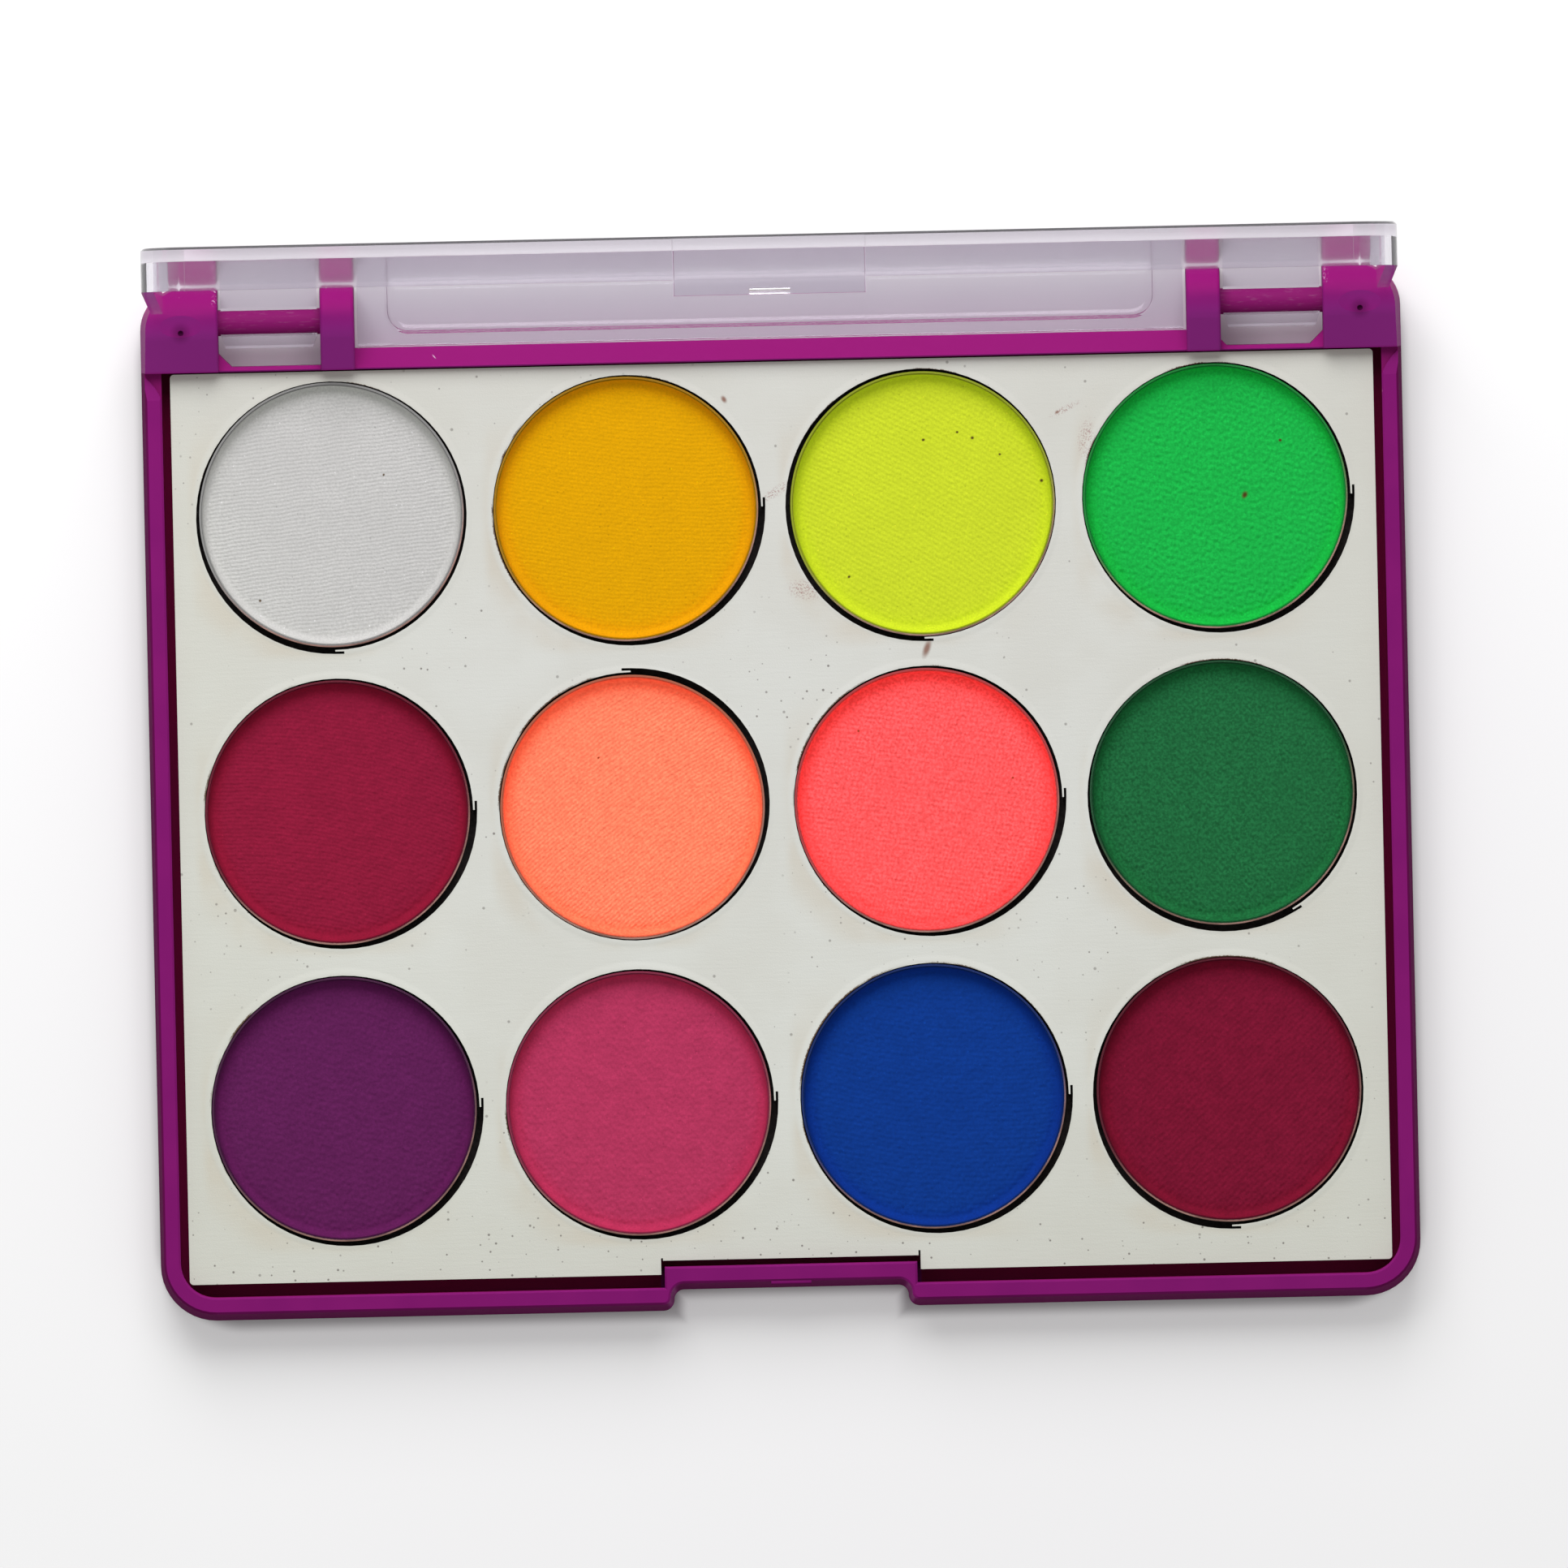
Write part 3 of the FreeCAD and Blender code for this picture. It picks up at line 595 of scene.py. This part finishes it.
# %% [markdown]
# ## Laser-cut board
# The board is faced with matt cream paper. The laser charred its cut walls black, and its smoke left a faint
# tan halo beside each hole, strongest towards the front left. The smoke follows the distance to the nearest
# hole, which comes from the pan grid: the column and row numbers are rounded, held inside the grid, and
# turned back into a centre. A few smears of powder lie on the paper, and many grey specks, most of them
# towards the front.

# %% Board colours
CREAM = linear(223, 226, 217)
CREAM_DULL = linear(219, 221, 211)
# Painted shade: duller cream towards the board's edges.
CREAM_EDGE_SHADE = linear(206, 207, 193)
SMOKE = linear(205, 192, 166)
CHAR = linear(24, 16, 18)
CHAR_BROWN = linear(96, 74, 58)
SPECK_GREY = linear(112, 106, 100)
SMEAR_BROWN = linear(160, 108, 104)
SPOT_BROWN = linear(132, 84, 62)
SMEARS = [
    {"centre": (0.2, 31.1), "bearing": 32, "length": 5.2, "width": 1.3},
    {"centre": (2.8, 21.2), "bearing": -15, "length": 4.6, "width": 2.6},
    {"centre": (29.2, 38.7), "bearing": 26, "length": 4.6, "width": 0.9},
    {"centre": (31.2, 35.8), "bearing": 80, "length": 5.0, "width": 2.2},
]
SPOTS = [
    {"centre": (-4.8, 40.4), "bearing": -60, "length": 1.1, "width": 0.7},
    {"centre": (28.4, 38.4), "bearing": 30, "length": 0.6, "width": 0.4},
    {"centre": (14.9, 15.1), "bearing": 70, "length": 2.6, "width": 1.0},
    {"centre": (48.6, -40.6), "bearing": 20, "length": 1.8, "width": 0.8},
]
print(len(SMEARS), "smears and", len(SPOTS), "spots")

# %% Places on the board
# Pairs again say where a mask begins and where it is full. Only edge_shade_reach gives half the width and
# half the depth of an oval, the reach of the painted shade towards the board's edges.
hole_radius = pan_radius / MM + 0.2
edge_shade_reach = (62.0, 50.0)
edge_shade_from = (0.5, 1.15)
specks_gather = (-32.0, -44.0)
smoke_reach = (4.2, 0.8)
smoke_clear = (0.2, 0.8)
smoke_room = (0.0, 1.3)
smoke_lee = (-0.3, 0.9)
burn_width = (0.2, 0.1)
burn_ragged = 0.25
raised_edge = (0.8, 0.1)
raised_height = 4.0
print("hole radius", round(hole_radius, 2), "mm")


# %% Board marks
def paper_marks(tree, spot, fine, colour):
    """Grey specks in drifts and towards the front, and brown smears of powder, over the paper's colour."""
    drifts = fade(tree, noise(tree, scale=0.09, detail=2.0), 0.46, 0.7)
    many = calc(tree, "MAXIMUM", drifts, fade(tree, spot["Y"], *specks_gather))
    dots = use_group(tree, specks_group, {"Spacing": 0.8, "Radius": 0.12, "Share": 0.6})["Mask"]
    colour = tint(tree, colour, SPECK_GREY, dots, many, strength=0.8)
    blots = use_group(tree, specks_group, {"Spacing": 1.9, "Radius": 0.15, "Share": 0.5})["Mask"]
    colour = tint(tree, colour, SPECK_GREY, blots, strength=0.55)
    dusty_shade = fade(tree, fine, 0.46, 0.68)
    for smear in SMEARS:
        smeared = streak(tree, spot["X"], spot["Y"], **smear)
        colour = tint(tree, colour, SMEAR_BROWN, smeared, dusty_shade, strength=0.7)
    for stain in SPOTS:
        colour = tint(tree, colour, SPOT_BROWN, streak(tree, spot["X"], spot["Y"], **stain), strength=0.85)
    return colour


def smoke_mask(tree, across, along, from_centre, from_hole, patches):
    """Smoke beside the holes: strongest to the front left, gone half-way to the next hole, and patchy."""
    to_front_left = calc(tree, "MULTIPLY", calc(tree, "ADD", across, along), -0.7)
    leeward = fade(tree, calc(tree, "DIVIDE", to_front_left, from_centre), *smoke_lee)
    near = product(tree, fade(tree, from_hole, *smoke_reach), fade(tree, from_hole, *smoke_clear))
    room_x = calc(tree, "SUBTRACT", pitch_x / MM / 2.0, calc(tree, "ABSOLUTE", across))
    room_y = calc(tree, "SUBTRACT", pitch_y / MM / 2.0, calc(tree, "ABSOLUTE", along))
    room = fade(tree, calc(tree, "MINIMUM", room_x, room_y), *smoke_room)
    return product(tree, near, room, leeward, fade(tree, patches, 0.3, 0.62))


print("pan pitch for the smoke:", round(pitch_x / MM, 2), "by", round(pitch_y / MM, 2), "mm")


# %% Board finish
def to_nearest(tree, value, first, pitch, count):
    """Signed distance from a coordinate to the nearest of evenly spaced centres, in millimetres."""
    steps = calc(tree, "DIVIDE", calc(tree, "SUBTRACT", value, first), pitch)
    number = calc(tree, "ROUND", steps)
    number = calc(tree, "MINIMUM", calc(tree, "MAXIMUM", number, 0.0), float(count - 1))
    return calc(tree, "SUBTRACT", value, calc(tree, "MULTIPLY_ADD", number, pitch, first))


def cream_board():
    material, tree, output = new_material("cream_board")
    spot = split(tree, millimetres(tree))
    across = to_nearest(tree, spot["X"], grid_left / MM, pitch_x / MM, len(SHADE_ROWS[0]))
    along = to_nearest(tree, spot["Y"], grid_front / MM, pitch_y / MM, len(SHADE_ROWS))
    from_centre = distance(tree, across, along)
    from_hole = calc(tree, "SUBTRACT", from_centre, hole_radius)
    patches = noise(tree, scale=0.14, detail=3.0)
    grain = use_group(tree, grain_group, {"Size": 0.14, "Coarse size": 9.0})
    fine = grain["Fine"]

    colour = blend(tree, fade(tree, grain["Coarse"], 0.3, 0.7), CREAM_DULL, CREAM)
    # Painted shade: the board darkens towards its edges.
    reach_x = calc(tree, "DIVIDE", spot["X"], edge_shade_reach[0])
    reach_y = calc(tree, "DIVIDE", spot["Y"], edge_shade_reach[1])
    edge_shade = fade(tree, distance(tree, reach_x, reach_y), *edge_shade_from)
    colour = tint(tree, colour, CREAM_EDGE_SHADE, edge_shade, strength=0.5)
    smoky = smoke_mask(tree, across, along, from_centre, from_hole, patches)
    colour = tint(tree, colour, SMOKE, smoky, strength=0.36)
    colour = paper_marks(tree, spot, fine, colour)
    ragged = calc(tree, "MULTIPLY_ADD", fine, burn_ragged, from_hole)
    burnt = product(tree, fade(tree, ragged, *burn_width), fade(tree, patches, 0.5, 0.6))
    colour = blend(tree, burnt, colour, CHAR_BROWN)
    facing = split(tree, place(tree, "NewGeometry", {}).outputs["Normal"])
    cut_wall = fade(tree, calc(tree, "ABSOLUTE", facing["Z"]), 0.7, 0.4)
    colour = blend(tree, cut_wall, colour, CHAR)

    fibres = noise(tree, scale=1.6, detail=3.0, stretch=(0.25, 2.2, 1.0))
    raised = fade(tree, from_hole, *raised_edge)
    height = calc(tree, "MULTIPLY_ADD", raised, raised_height, calc(tree, "ADD", fine, fibres))
    inputs = {
        "Base Color": colour,
        "Roughness": span(tree, fine, 0.72, 0.92),
        "Specular IOR Level": 0.2,
        "Normal": relief(tree, height, depth=0.02 * MM, strength=0.7),
    }
    surface(tree, output, inputs)
    return material


give("insert_board", cream_board())
print("board finished")

# %% [markdown]
# ## Card and glue under the board
# These two only show when the palette is taken apart, and as the dark bottom of the gaps. The card is grainy
# pulp, painted dark as the shade at the bottom of the gaps, and the glue pads are milky with a slow ripple.

# %% Card and glue finishes
# The card is painted dark as the shade at the bottom of the gaps.
CARD_SHADE = linear(66, 60, 58)
CARD_SHADE_DARK = linear(48, 43, 42)
GLUE = linear(226, 222, 206)
GLUE_DEEP = linear(206, 200, 180)


def grainy(name, light, dark, grain_size, depth, smoothest, roughest):
    """A plain grainy finish between two colours, for pieces that lie hidden."""
    material, tree, output = new_material(name)
    grain = use_group(tree, grain_group, {"Size": grain_size, "Coarse size": 4.0})
    inputs = {
        "Base Color": blend(tree, fade(tree, grain["Fine"], 0.3, 0.7), dark, light),
        "Roughness": span(tree, grain["Coarse"], smoothest, roughest),
        "Normal": relief(tree, grain["Fine"], depth),
    }
    surface(tree, output, inputs)
    return material


give("backing_card", grainy("card_painted_shade", CARD_SHADE, CARD_SHADE_DARK, 0.5, 0.03 * MM, 0.8, 0.95))
give("pan_adhesive", grainy("milky_glue", GLUE, GLUE_DEEP, 1.5, 0.02 * MM, 0.3, 0.5))
print("card and glue finished")

# %% [markdown]
# ## Powder colours
# Each cake has its colour, and the imprint that the pressing cloth left in it: the bearing of its ribs,
# their pitch in millimetres, how deep they are, how strong the cross threads are, how much the ribs bend, and
# how lumpy the powder is. Grit and mottle say how much its tone varies, from grain to grain and in patches.
# Neon pigments glow red in light; here the glow is a constant red emission, painted light that shines even
# where no lamp reaches. Some cakes carry brown crumbs.

# %% Shade table
POWDERS = {
    "white": {
        "colour": (205, 206, 201), "glow": 0.0, "grit": 0.0, "mottle": 0.015,
        "bearing": 6, "pitch": 0.39, "depth": 1.15, "cross": 0.1, "bend": 0.0, "lumps": 0.1,
    },
    "amber": {
        "colour": (232, 171, 1), "glow": 0.0, "grit": 0.0, "mottle": 0.015,
        "bearing": -6, "pitch": 0.39, "depth": 0.7, "cross": 0.15, "bend": -0.0055, "lumps": 0.25,
    },
    "lime": {
        "colour": (210, 228, 46), "glow": 0.0, "grit": 0.0, "mottle": 0.015,
        "bearing": -31, "pitch": 0.465, "depth": 1.0, "cross": 0.35, "bend": 0.0037, "lumps": 0.28,
    },
    "green": {
        "colour": (28, 188, 75), "glow": 0.0, "grit": 0.09, "mottle": 0.02,
        "bearing": -21, "pitch": 0.6, "depth": 0.7, "cross": 0.0, "bend": 0.0, "lumps": 0.75,
    },
    "crimson": {
        "colour": (147, 27, 59), "glow": 0.0, "grit": 0.04, "mottle": 0.05,
        "bearing": -12, "pitch": 0.38, "depth": 0.8, "cross": 0.2, "bend": 0.009, "lumps": 0.45,
    },
    "salmon": {
        "colour": (250, 143, 105), "glow": 0.28, "grit": 0.135, "mottle": 0.045,
        "bearing": 35, "pitch": 0.35, "depth": 2.0, "cross": 0.15, "bend": 0.005, "lumps": 0.5,
    },
    "coral": {
        "colour": (250, 97, 99), "glow": 0.28, "grit": 0.23, "mottle": 0.05,
        "bearing": 73, "pitch": 0.38, "depth": 1.6, "cross": 0.8, "bend": 0.0, "lumps": 0.6,
    },
    "pine": {
        "colour": (33, 110, 62), "glow": 0.0, "grit": 0.165, "mottle": 0.045,
        "bearing": -53, "pitch": 0.45, "depth": 1.1, "cross": 0.2, "bend": 0.0, "lumps": 0.65,
    },
    "plum": {
        "colour": (99, 32, 88), "glow": 0.0, "grit": 0.055, "mottle": 0.045,
        "bearing": -21, "pitch": 0.46, "depth": 0.3, "cross": 0.1, "bend": 0.0, "lumps": 0.5,
    },
    "rose": {
        "colour": (188, 57, 97), "glow": 0.0, "grit": 0.025, "mottle": 0.055,
        "bearing": -55, "pitch": 0.46, "depth": 0.5, "cross": 0.2, "bend": 0.0, "lumps": 0.45,
    },
    "cobalt": {
        "colour": (12, 59, 145), "glow": 0.0, "grit": 0.04, "mottle": 0.045,
        "bearing": -6, "pitch": 0.46, "depth": 0.55, "cross": 0.1, "bend": -0.008, "lumps": 0.45,
    },
    "maroon": {
        "colour": (126, 20, 50), "glow": 0.0, "grit": 0.06, "mottle": 0.07,
        "bearing": 43, "pitch": 0.46, "depth": 0.7, "cross": 0.1, "bend": 0.0, "lumps": 0.5,
    },
}
print(len(POWDERS), "powder colours")

# %% Crumbs
CRUMBS = {
    "green": [
        {"centre": (46.95, 29.72), "bearing": 60, "length": 1.1, "width": 0.8},
        {"centre": (50.6, 35.1), "bearing": 0, "length": 0.5, "width": 0.44},
    ],
    "lime": [
        {"centre": (26.71, 31.6), "bearing": 0, "length": 0.56, "width": 0.5},
        {"centre": (15.0, 35.9), "bearing": 20, "length": 0.5, "width": 0.42},
        {"centre": (19.9, 36.0), "bearing": 0, "length": 0.52, "width": 0.46},
        {"centre": (18.4, 36.6), "bearing": 0, "length": 0.4, "width": 0.36},
        {"centre": (22.6, 34.3), "bearing": 0, "length": 0.4, "width": 0.34},
        {"centre": (7.3, 22.4), "bearing": 40, "length": 0.46, "width": 0.38},
    ],
    "white": [
        {"centre": (-38.9, 33.6), "bearing": 70, "length": 0.42, "width": 0.3},
        {"centre": (-51.5, 21.3), "bearing": 0, "length": 0.42, "width": 0.38},
    ],
    "salmon": [{"centre": (-18.1, 4.9), "bearing": 30, "length": 0.42, "width": 0.34}],
    "coral": [
        {"centre": (7.9, 7.0), "bearing": 0, "length": 0.42, "width": 0.36},
        {"centre": (23.2, 2.0), "bearing": 0, "length": 0.38, "width": 0.34},
    ],
}
CRUMB_BROWN = linear(82, 60, 26)
print(sum(len(crumbs) for crumbs in CRUMBS.values()), "crumbs")

# %% [markdown]
# ## Metal pans
# A pan is pressed from thin tinplate with a warm lacquer. Only its rim shows, and powder clings to most of
# it, painted darker as shade. Towards the front, where light falls on the rim, it is left bare and lighter.

# %% Pan finish
TIN = linear(168, 130, 118)
TIN_DARK = linear(128, 96, 86)
rim_band = (pan_radius / MM - 0.14, pan_radius / MM - 0.06)
rim_ragged = 0.1
lit_front_lean = 0.4


def brighter(colour, factor):
    """The same colour with its light multiplied."""
    return (*[min(channel * factor, 1.0) for channel in colour[:3]], 1.0)


def from_axis(tree, node):
    """X and Y from the upright axis of a round node, and the distance from it, in millimetres."""
    centre = middle(node) / MM
    offset = place(tree, "VectorMath", {0: millimetres(tree), 1: centre}, operation="SUBTRACT").outputs[0]
    run = split(tree, offset)
    return run["X"], run["Y"], distance(tree, run["X"], run["Y"])


def pan_metal(shade):
    material, tree, output = new_material("pan_metal_" + shade)
    from_x, from_y, out = from_axis(tree, "pan_" + shade)
    grain = use_group(tree, grain_group, {"Size": 0.25, "Coarse size": 3.0})
    metal = blend(tree, fade(tree, grain["Coarse"], 0.35, 0.65), TIN_DARK, TIN)
    # Painted light: the rim is left bare and lighter towards the front, where light falls.
    to_front = calc(tree, "SUBTRACT", calc(tree, "MULTIPLY", from_x, lit_front_lean), from_y)
    bare_lit_front = fade(tree, calc(tree, "DIVIDE", to_front, out), -0.1, 0.8)
    ragged = calc(tree, "MULTIPLY_ADD", grain["Fine"], rim_ragged, out)
    on_rim = fade(tree, ragged, *rim_band)
    bare = calc(tree, "MULTIPLY", bare_lit_front, on_rim)
    # Powder on the rim, painted darker as shade.
    dusty_shade = brighter(linear(*POWDERS[shade]["colour"]), 0.45)
    inputs = {
        "Base Color": blend(tree, bare, dusty_shade, metal),
        "Metallic": calc(tree, "MULTIPLY", bare, 0.35),
        "Roughness": calc(tree, "MULTIPLY_ADD", bare, -0.4, 0.85),
        "Normal": relief(tree, grain["Fine"], depth=0.01 * MM),
    }
    surface(tree, output, inputs)
    return material


for shade in SHADES:
    give("pan_" + shade, pan_metal(shade))
print("pans finished")

# %% [markdown]
# ## Pressed powder cakes
# A cake is a disc with a nearly level field, which climbs the pan's wall along a steep arc. The ribs of the
# pressing cloth are only a few hundredths of a millimetre deep, yet the low light shows them, so they are
# modelled. A blank is grown from a fine grid: the square grid is eased into a circle, and its open rim is
# then drawn out ring by ring over the arc, the lip and the wall. Each cake is a copy of it with its own
# imprint, turned so that the fine rows of the grid lie along the ribs.

# %% Cake blank
lip_width = 0.1 * MM
edge_width = 0.8 * MM
edge_rise = 1.2 * MM
bottom_round = 0.4 * MM
grid_columns = 190
grid_rows = 280
edge_rings = 10
cake_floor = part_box("powder_white")[0].z
cake_radius = size("powder_white").x / 2.0
cake_height = size("powder_white").z
field_radius = cake_radius - lip_width - edge_width


def open_rim(shape):
    """Edges round the open side of the shape."""
    return [edge for edge in shape.edges if edge.is_boundary]


def grow(shape, radius, height, sharp=False):
    """Draws the open rim out to a new radius and height."""
    bmesh.ops.extrude_edge_only(shape, edges=open_rim(shape))
    rim = open_rim(shape)
    for vert in {vert for edge in rim for vert in edge.verts}:
        direction = Vector((vert.co.x, vert.co.y, 0.0)).normalized()
        vert.co = direction * radius + Vector((0.0, 0.0, height))
    for edge in rim:
        edge.smooth = not sharp


def blank_cake():
    """Level disc about the Z axis with its floor at z 0."""
    shape = bmesh.new()
    bmesh.ops.create_grid(shape, x_segments=grid_columns, y_segments=grid_rows, size=1.0)
    for vert in shape.verts:
        x, y = vert.co.x, vert.co.y
        eased = Vector((x * math.sqrt(1.0 - y * y / 2.0), y * math.sqrt(1.0 - x * x / 2.0), 0.0))
        vert.co = eased * field_radius + Vector((0.0, 0.0, cake_height))
    for ring in range(1, edge_rings + 1):
        past_field = edge_width * math.sin(math.pi / 2.0 * ring / edge_rings)
        grow(shape, field_radius + past_field, cake_height, sharp=ring == edge_rings)
    grow(shape, cake_radius, cake_height, sharp=True)
    grow(shape, cake_radius, bottom_round, sharp=True)
    grow(shape, cake_radius - bottom_round, 0.0, sharp=True)
    bmesh.ops.contextual_create(shape, geom=open_rim(shape))
    bmesh.ops.recalc_face_normals(shape, faces=shape.faces)
    for face in shape.faces:
        face.smooth = True
    mesh = bpy.data.meshes.new("cake_blank")
    shape.to_mesh(mesh)
    shape.free()
    return mesh


cake_blank = blank_cake()
print("cake blank:", len(cake_blank.polygons), "faces")

# %% [markdown]
# ## Pressing the imprint
# The height of a cake's top is a formula of the place on it: the arc at the edge, a slight dome, the cloth's
# ribs, lumps, and a slow unevenness. The cloth has two sets of threads with different pitches. Its ribs run
# along a bearing, may bend, are broken up by the cross threads, and fade out towards the edge.

# %% Imprint
rib_depth = 0.022 * MM
lump_depth = 0.04 * MM
dome_rise = 0.12 * MM
uneven_depth = 0.015 * MM
both_pitches = 0.85
thread_lean = 0.14
lump_waves = 7
lump_turn = 2.4
shortest_lump = 0.52
lump_step = 0.07
lump_wobble = 0.2
lump_bend = 1.3
lump_total = 2.6


def weave(along, over, imprint):
    """Imprint of woven cloth, about -1 to 1. Places are in millimetres, along the ribs and over them."""
    # The cloth lay a little crooked, so the threads wander.
    wander = 0.05 * np.sin(along * 0.9 + over * 0.35) + 0.03 * np.sin(along * 2.3 - over * 0.8 + 1.0)
    rows = 2.0 * math.pi * (over + imprint["bend"] * along**2 + wander) / imprint["pitch"]
    threads = 2.0 * math.pi * (along + thread_lean * over + wander) / (both_pitches - imprint["pitch"])
    strength = 0.7 + 0.3 * np.sin(rows / 2.0 + threads / 2.0)
    return np.sin(rows) * strength + imprint["cross"] * np.sin(threads)


def lumps(x, y):
    """Irregular small lumps, about -1 to 1, at places in millimetres: waves from several directions."""
    total = np.zeros_like(x)
    for number in range(lump_waves):
        turn = lump_turn * number
        wavelength = shortest_lump + lump_step * number
        ahead = x * math.cos(turn) + y * math.sin(turn)
        aside = y * math.cos(turn) - x * math.sin(turn)
        wobble = lump_wobble * np.sin(lump_bend * aside + number)
        total += np.sin(2.0 * math.pi * (ahead + wobble) / wavelength)
    return total / lump_total


def cake_top(along, over, imprint):
    """Height of the powder over the cake's floor, at points measured from its centre along the ribs."""
    out = np.hypot(along, over)
    past_field = np.clip(out - field_radius, 0.0, edge_width)
    climb = edge_rise * (1.0 - np.sqrt(1.0 - (past_field / edge_width) ** 2))
    inner = 1.0 - past_field / edge_width
    texture = rib_depth * imprint["depth"] * weave(along / MM, over / MM, imprint)
    texture += lump_depth * imprint["lumps"] * lumps(along / MM, over / MM)
    texture += uneven_depth * np.sin(along / MM * 0.31 + 0.4) * np.sin(over / MM * 0.27 + 1.1)
    dome = dome_rise * (1.0 - (out / cake_radius) ** 2)
    return cake_height - edge_rise + climb + inner * (texture + dome)


print("ribs", round(rib_depth / MM, 3), "mm deep")

# %% Pressed cakes
level_slack = 0.001 * MM


def press_cake(shade):
    """A powder cake in its pan, with its own imprint."""
    mesh = cake_blank.copy()
    mesh.name = "pressed_" + shade
    count = len(mesh.vertices)
    spots = np.empty(count * 3)
    mesh.vertices.foreach_get("co", spots)
    spots = spots.reshape(count, 3)
    on_top = spots[:, 2] > cake_height - level_slack
    spots[on_top, 2] = cake_top(spots[on_top, 0], spots[on_top, 1], POWDERS[shade])
    turn = math.radians(POWDERS[shade]["bearing"])
    turned = [[math.cos(turn), math.sin(turn)], [-math.sin(turn), math.cos(turn)]]
    spots[:, :2] = spots[:, :2] @ np.array(turned)
    centre = middle("powder_" + shade)
    spots += np.array((centre.x, centre.y, cake_floor))
    mesh.vertices.foreach_set("co", spots.ravel())
    mesh.update()
    cake = bpy.data.objects.new("pressed_" + shade, mesh)
    bpy.context.scene.collection.objects.link(cake)
    return cake


cakes = {shade: press_cake(shade) for shade in SHADES}
bpy.data.meshes.remove(cake_blank)
print(len(cakes), "cakes pressed")

# %% [markdown]
# ## Powder finish
# Pressed powder is dry and matt, with grains of slightly different tone, and with dark and pale specks. Its
# edge is painted a little deeper in colour, for light that bounces in the hollow edge, and the lip is painted
# darker as shade.

# %% Powder tone
corner_power = 0.3


def deeper(colour):
    """The same colour with its weaker channels lowered, as where light bounces in a corner."""
    strongest = max(colour[:3])
    return (*[channel * (channel / strongest) ** corner_power for channel in colour[:3]], 1.0)


def powder_tone(tree, fine, imprint):
    """Brightness around 1, which varies from grain to grain and in patches."""
    grit = use_group(tree, grain_group, {"Size": 0.28, "Coarse size": 1.3})
    spread = imprint["grit"]
    mottle = imprint["mottle"]
    return product(
        tree,
        span(tree, fade(tree, fine, 0.25, 0.75), 0.9, 1.08),
        span(tree, fade(tree, grit["Fine"], 0.4, 0.6), 1.0 - spread, 1.0 + spread),
        span(tree, fade(tree, grit["Coarse"], 0.3, 0.7), 1.0 - mottle, 1.0 + mottle),
    )


print("grittiest powder:", max(SHADES, key=lambda shade: POWDERS[shade]["grit"]))

# %% Powder finish
edge_band = (cake_radius / MM - 1.8, cake_radius / MM - 0.4)
lip_shade_band = (cake_radius / MM - 0.16, cake_radius / MM - 0.08)
edge_bounce_tint = 0.4
# Painted light: the red of the neon glow.
NEON_GLOW_RED = linear(255, 40, 24)


def pressed_powder(shade):
    material, tree, output = new_material("powder_" + shade)
    imprint = POWDERS[shade]
    powder = linear(*imprint["colour"])
    grain = use_group(tree, grain_group, {"Size": 0.2, "Coarse size": 6.0})
    fine = grain["Fine"]
    out = from_axis(tree, "powder_" + shade)[2]
    by_edge = fade(tree, out, *edge_band)
    # Painted light: light bouncing in the hollow edge deepens its colour.
    colour = tint(tree, powder, deeper(powder), by_edge, strength=edge_bounce_tint + imprint["glow"])
    # Painted shade: the lip is darker.
    lip_shade = fade(tree, out, *lip_shade_band)
    colour = blend(tree, lip_shade, colour, brighter(powder, 0.55))
    inputs = {0: 1.0, 6: colour, 7: powder_tone(tree, fine, imprint)}
    colour = place(tree, "Mix", inputs, data_type="RGBA", blend_type="MULTIPLY").outputs[2]
    drift = fade(tree, grain["Coarse"], 0.4, 0.75)
    colour = tint(tree, colour, brighter(powder, 0.9), drift, strength=0.25)
    dark = use_group(tree, specks_group, {"Spacing": 0.7, "Radius": 0.1, "Share": 0.35})["Mask"]
    colour = tint(tree, colour, brighter(powder, 0.45), dark, strength=0.4)
    pale = use_group(tree, specks_group, {"Spacing": 0.6, "Radius": 0.08, "Share": 0.3})["Mask"]
    colour = tint(tree, colour, brighter(powder, 1.7), pale, strength=0.5)
    spot = split(tree, millimetres(tree))
    for crumb in CRUMBS.get(shade, []):
        colour = blend(tree, streak(tree, spot["X"], spot["Y"], **crumb), colour, CRUMB_BROWN)
    inputs = {
        "Base Color": colour,
        "Roughness": span(tree, fine, 0.85, 1.0),
        "Specular IOR Level": 0.1,
        # Painted light: a constant red emission stands for the neon pigments' glow.
        "Emission Color": NEON_GLOW_RED,
        "Emission Strength": imprint["glow"],
        "Normal": relief(tree, fine, depth=0.03 * MM, strength=0.7),
    }
    surface(tree, output, inputs)
    return material


for shade, cake in cakes.items():
    material = pressed_powder(shade)
    cake.data.materials.append(material)
    give("powder_" + shade, material)
    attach(cake, "case")
    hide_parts("powder_" + shade)
print("powder finished")

# %% [markdown]
# ## The end
# The dressed palette has to keep the size of the solids. The last cell prints a closing line.

# %% Finish
print("palette dressed")
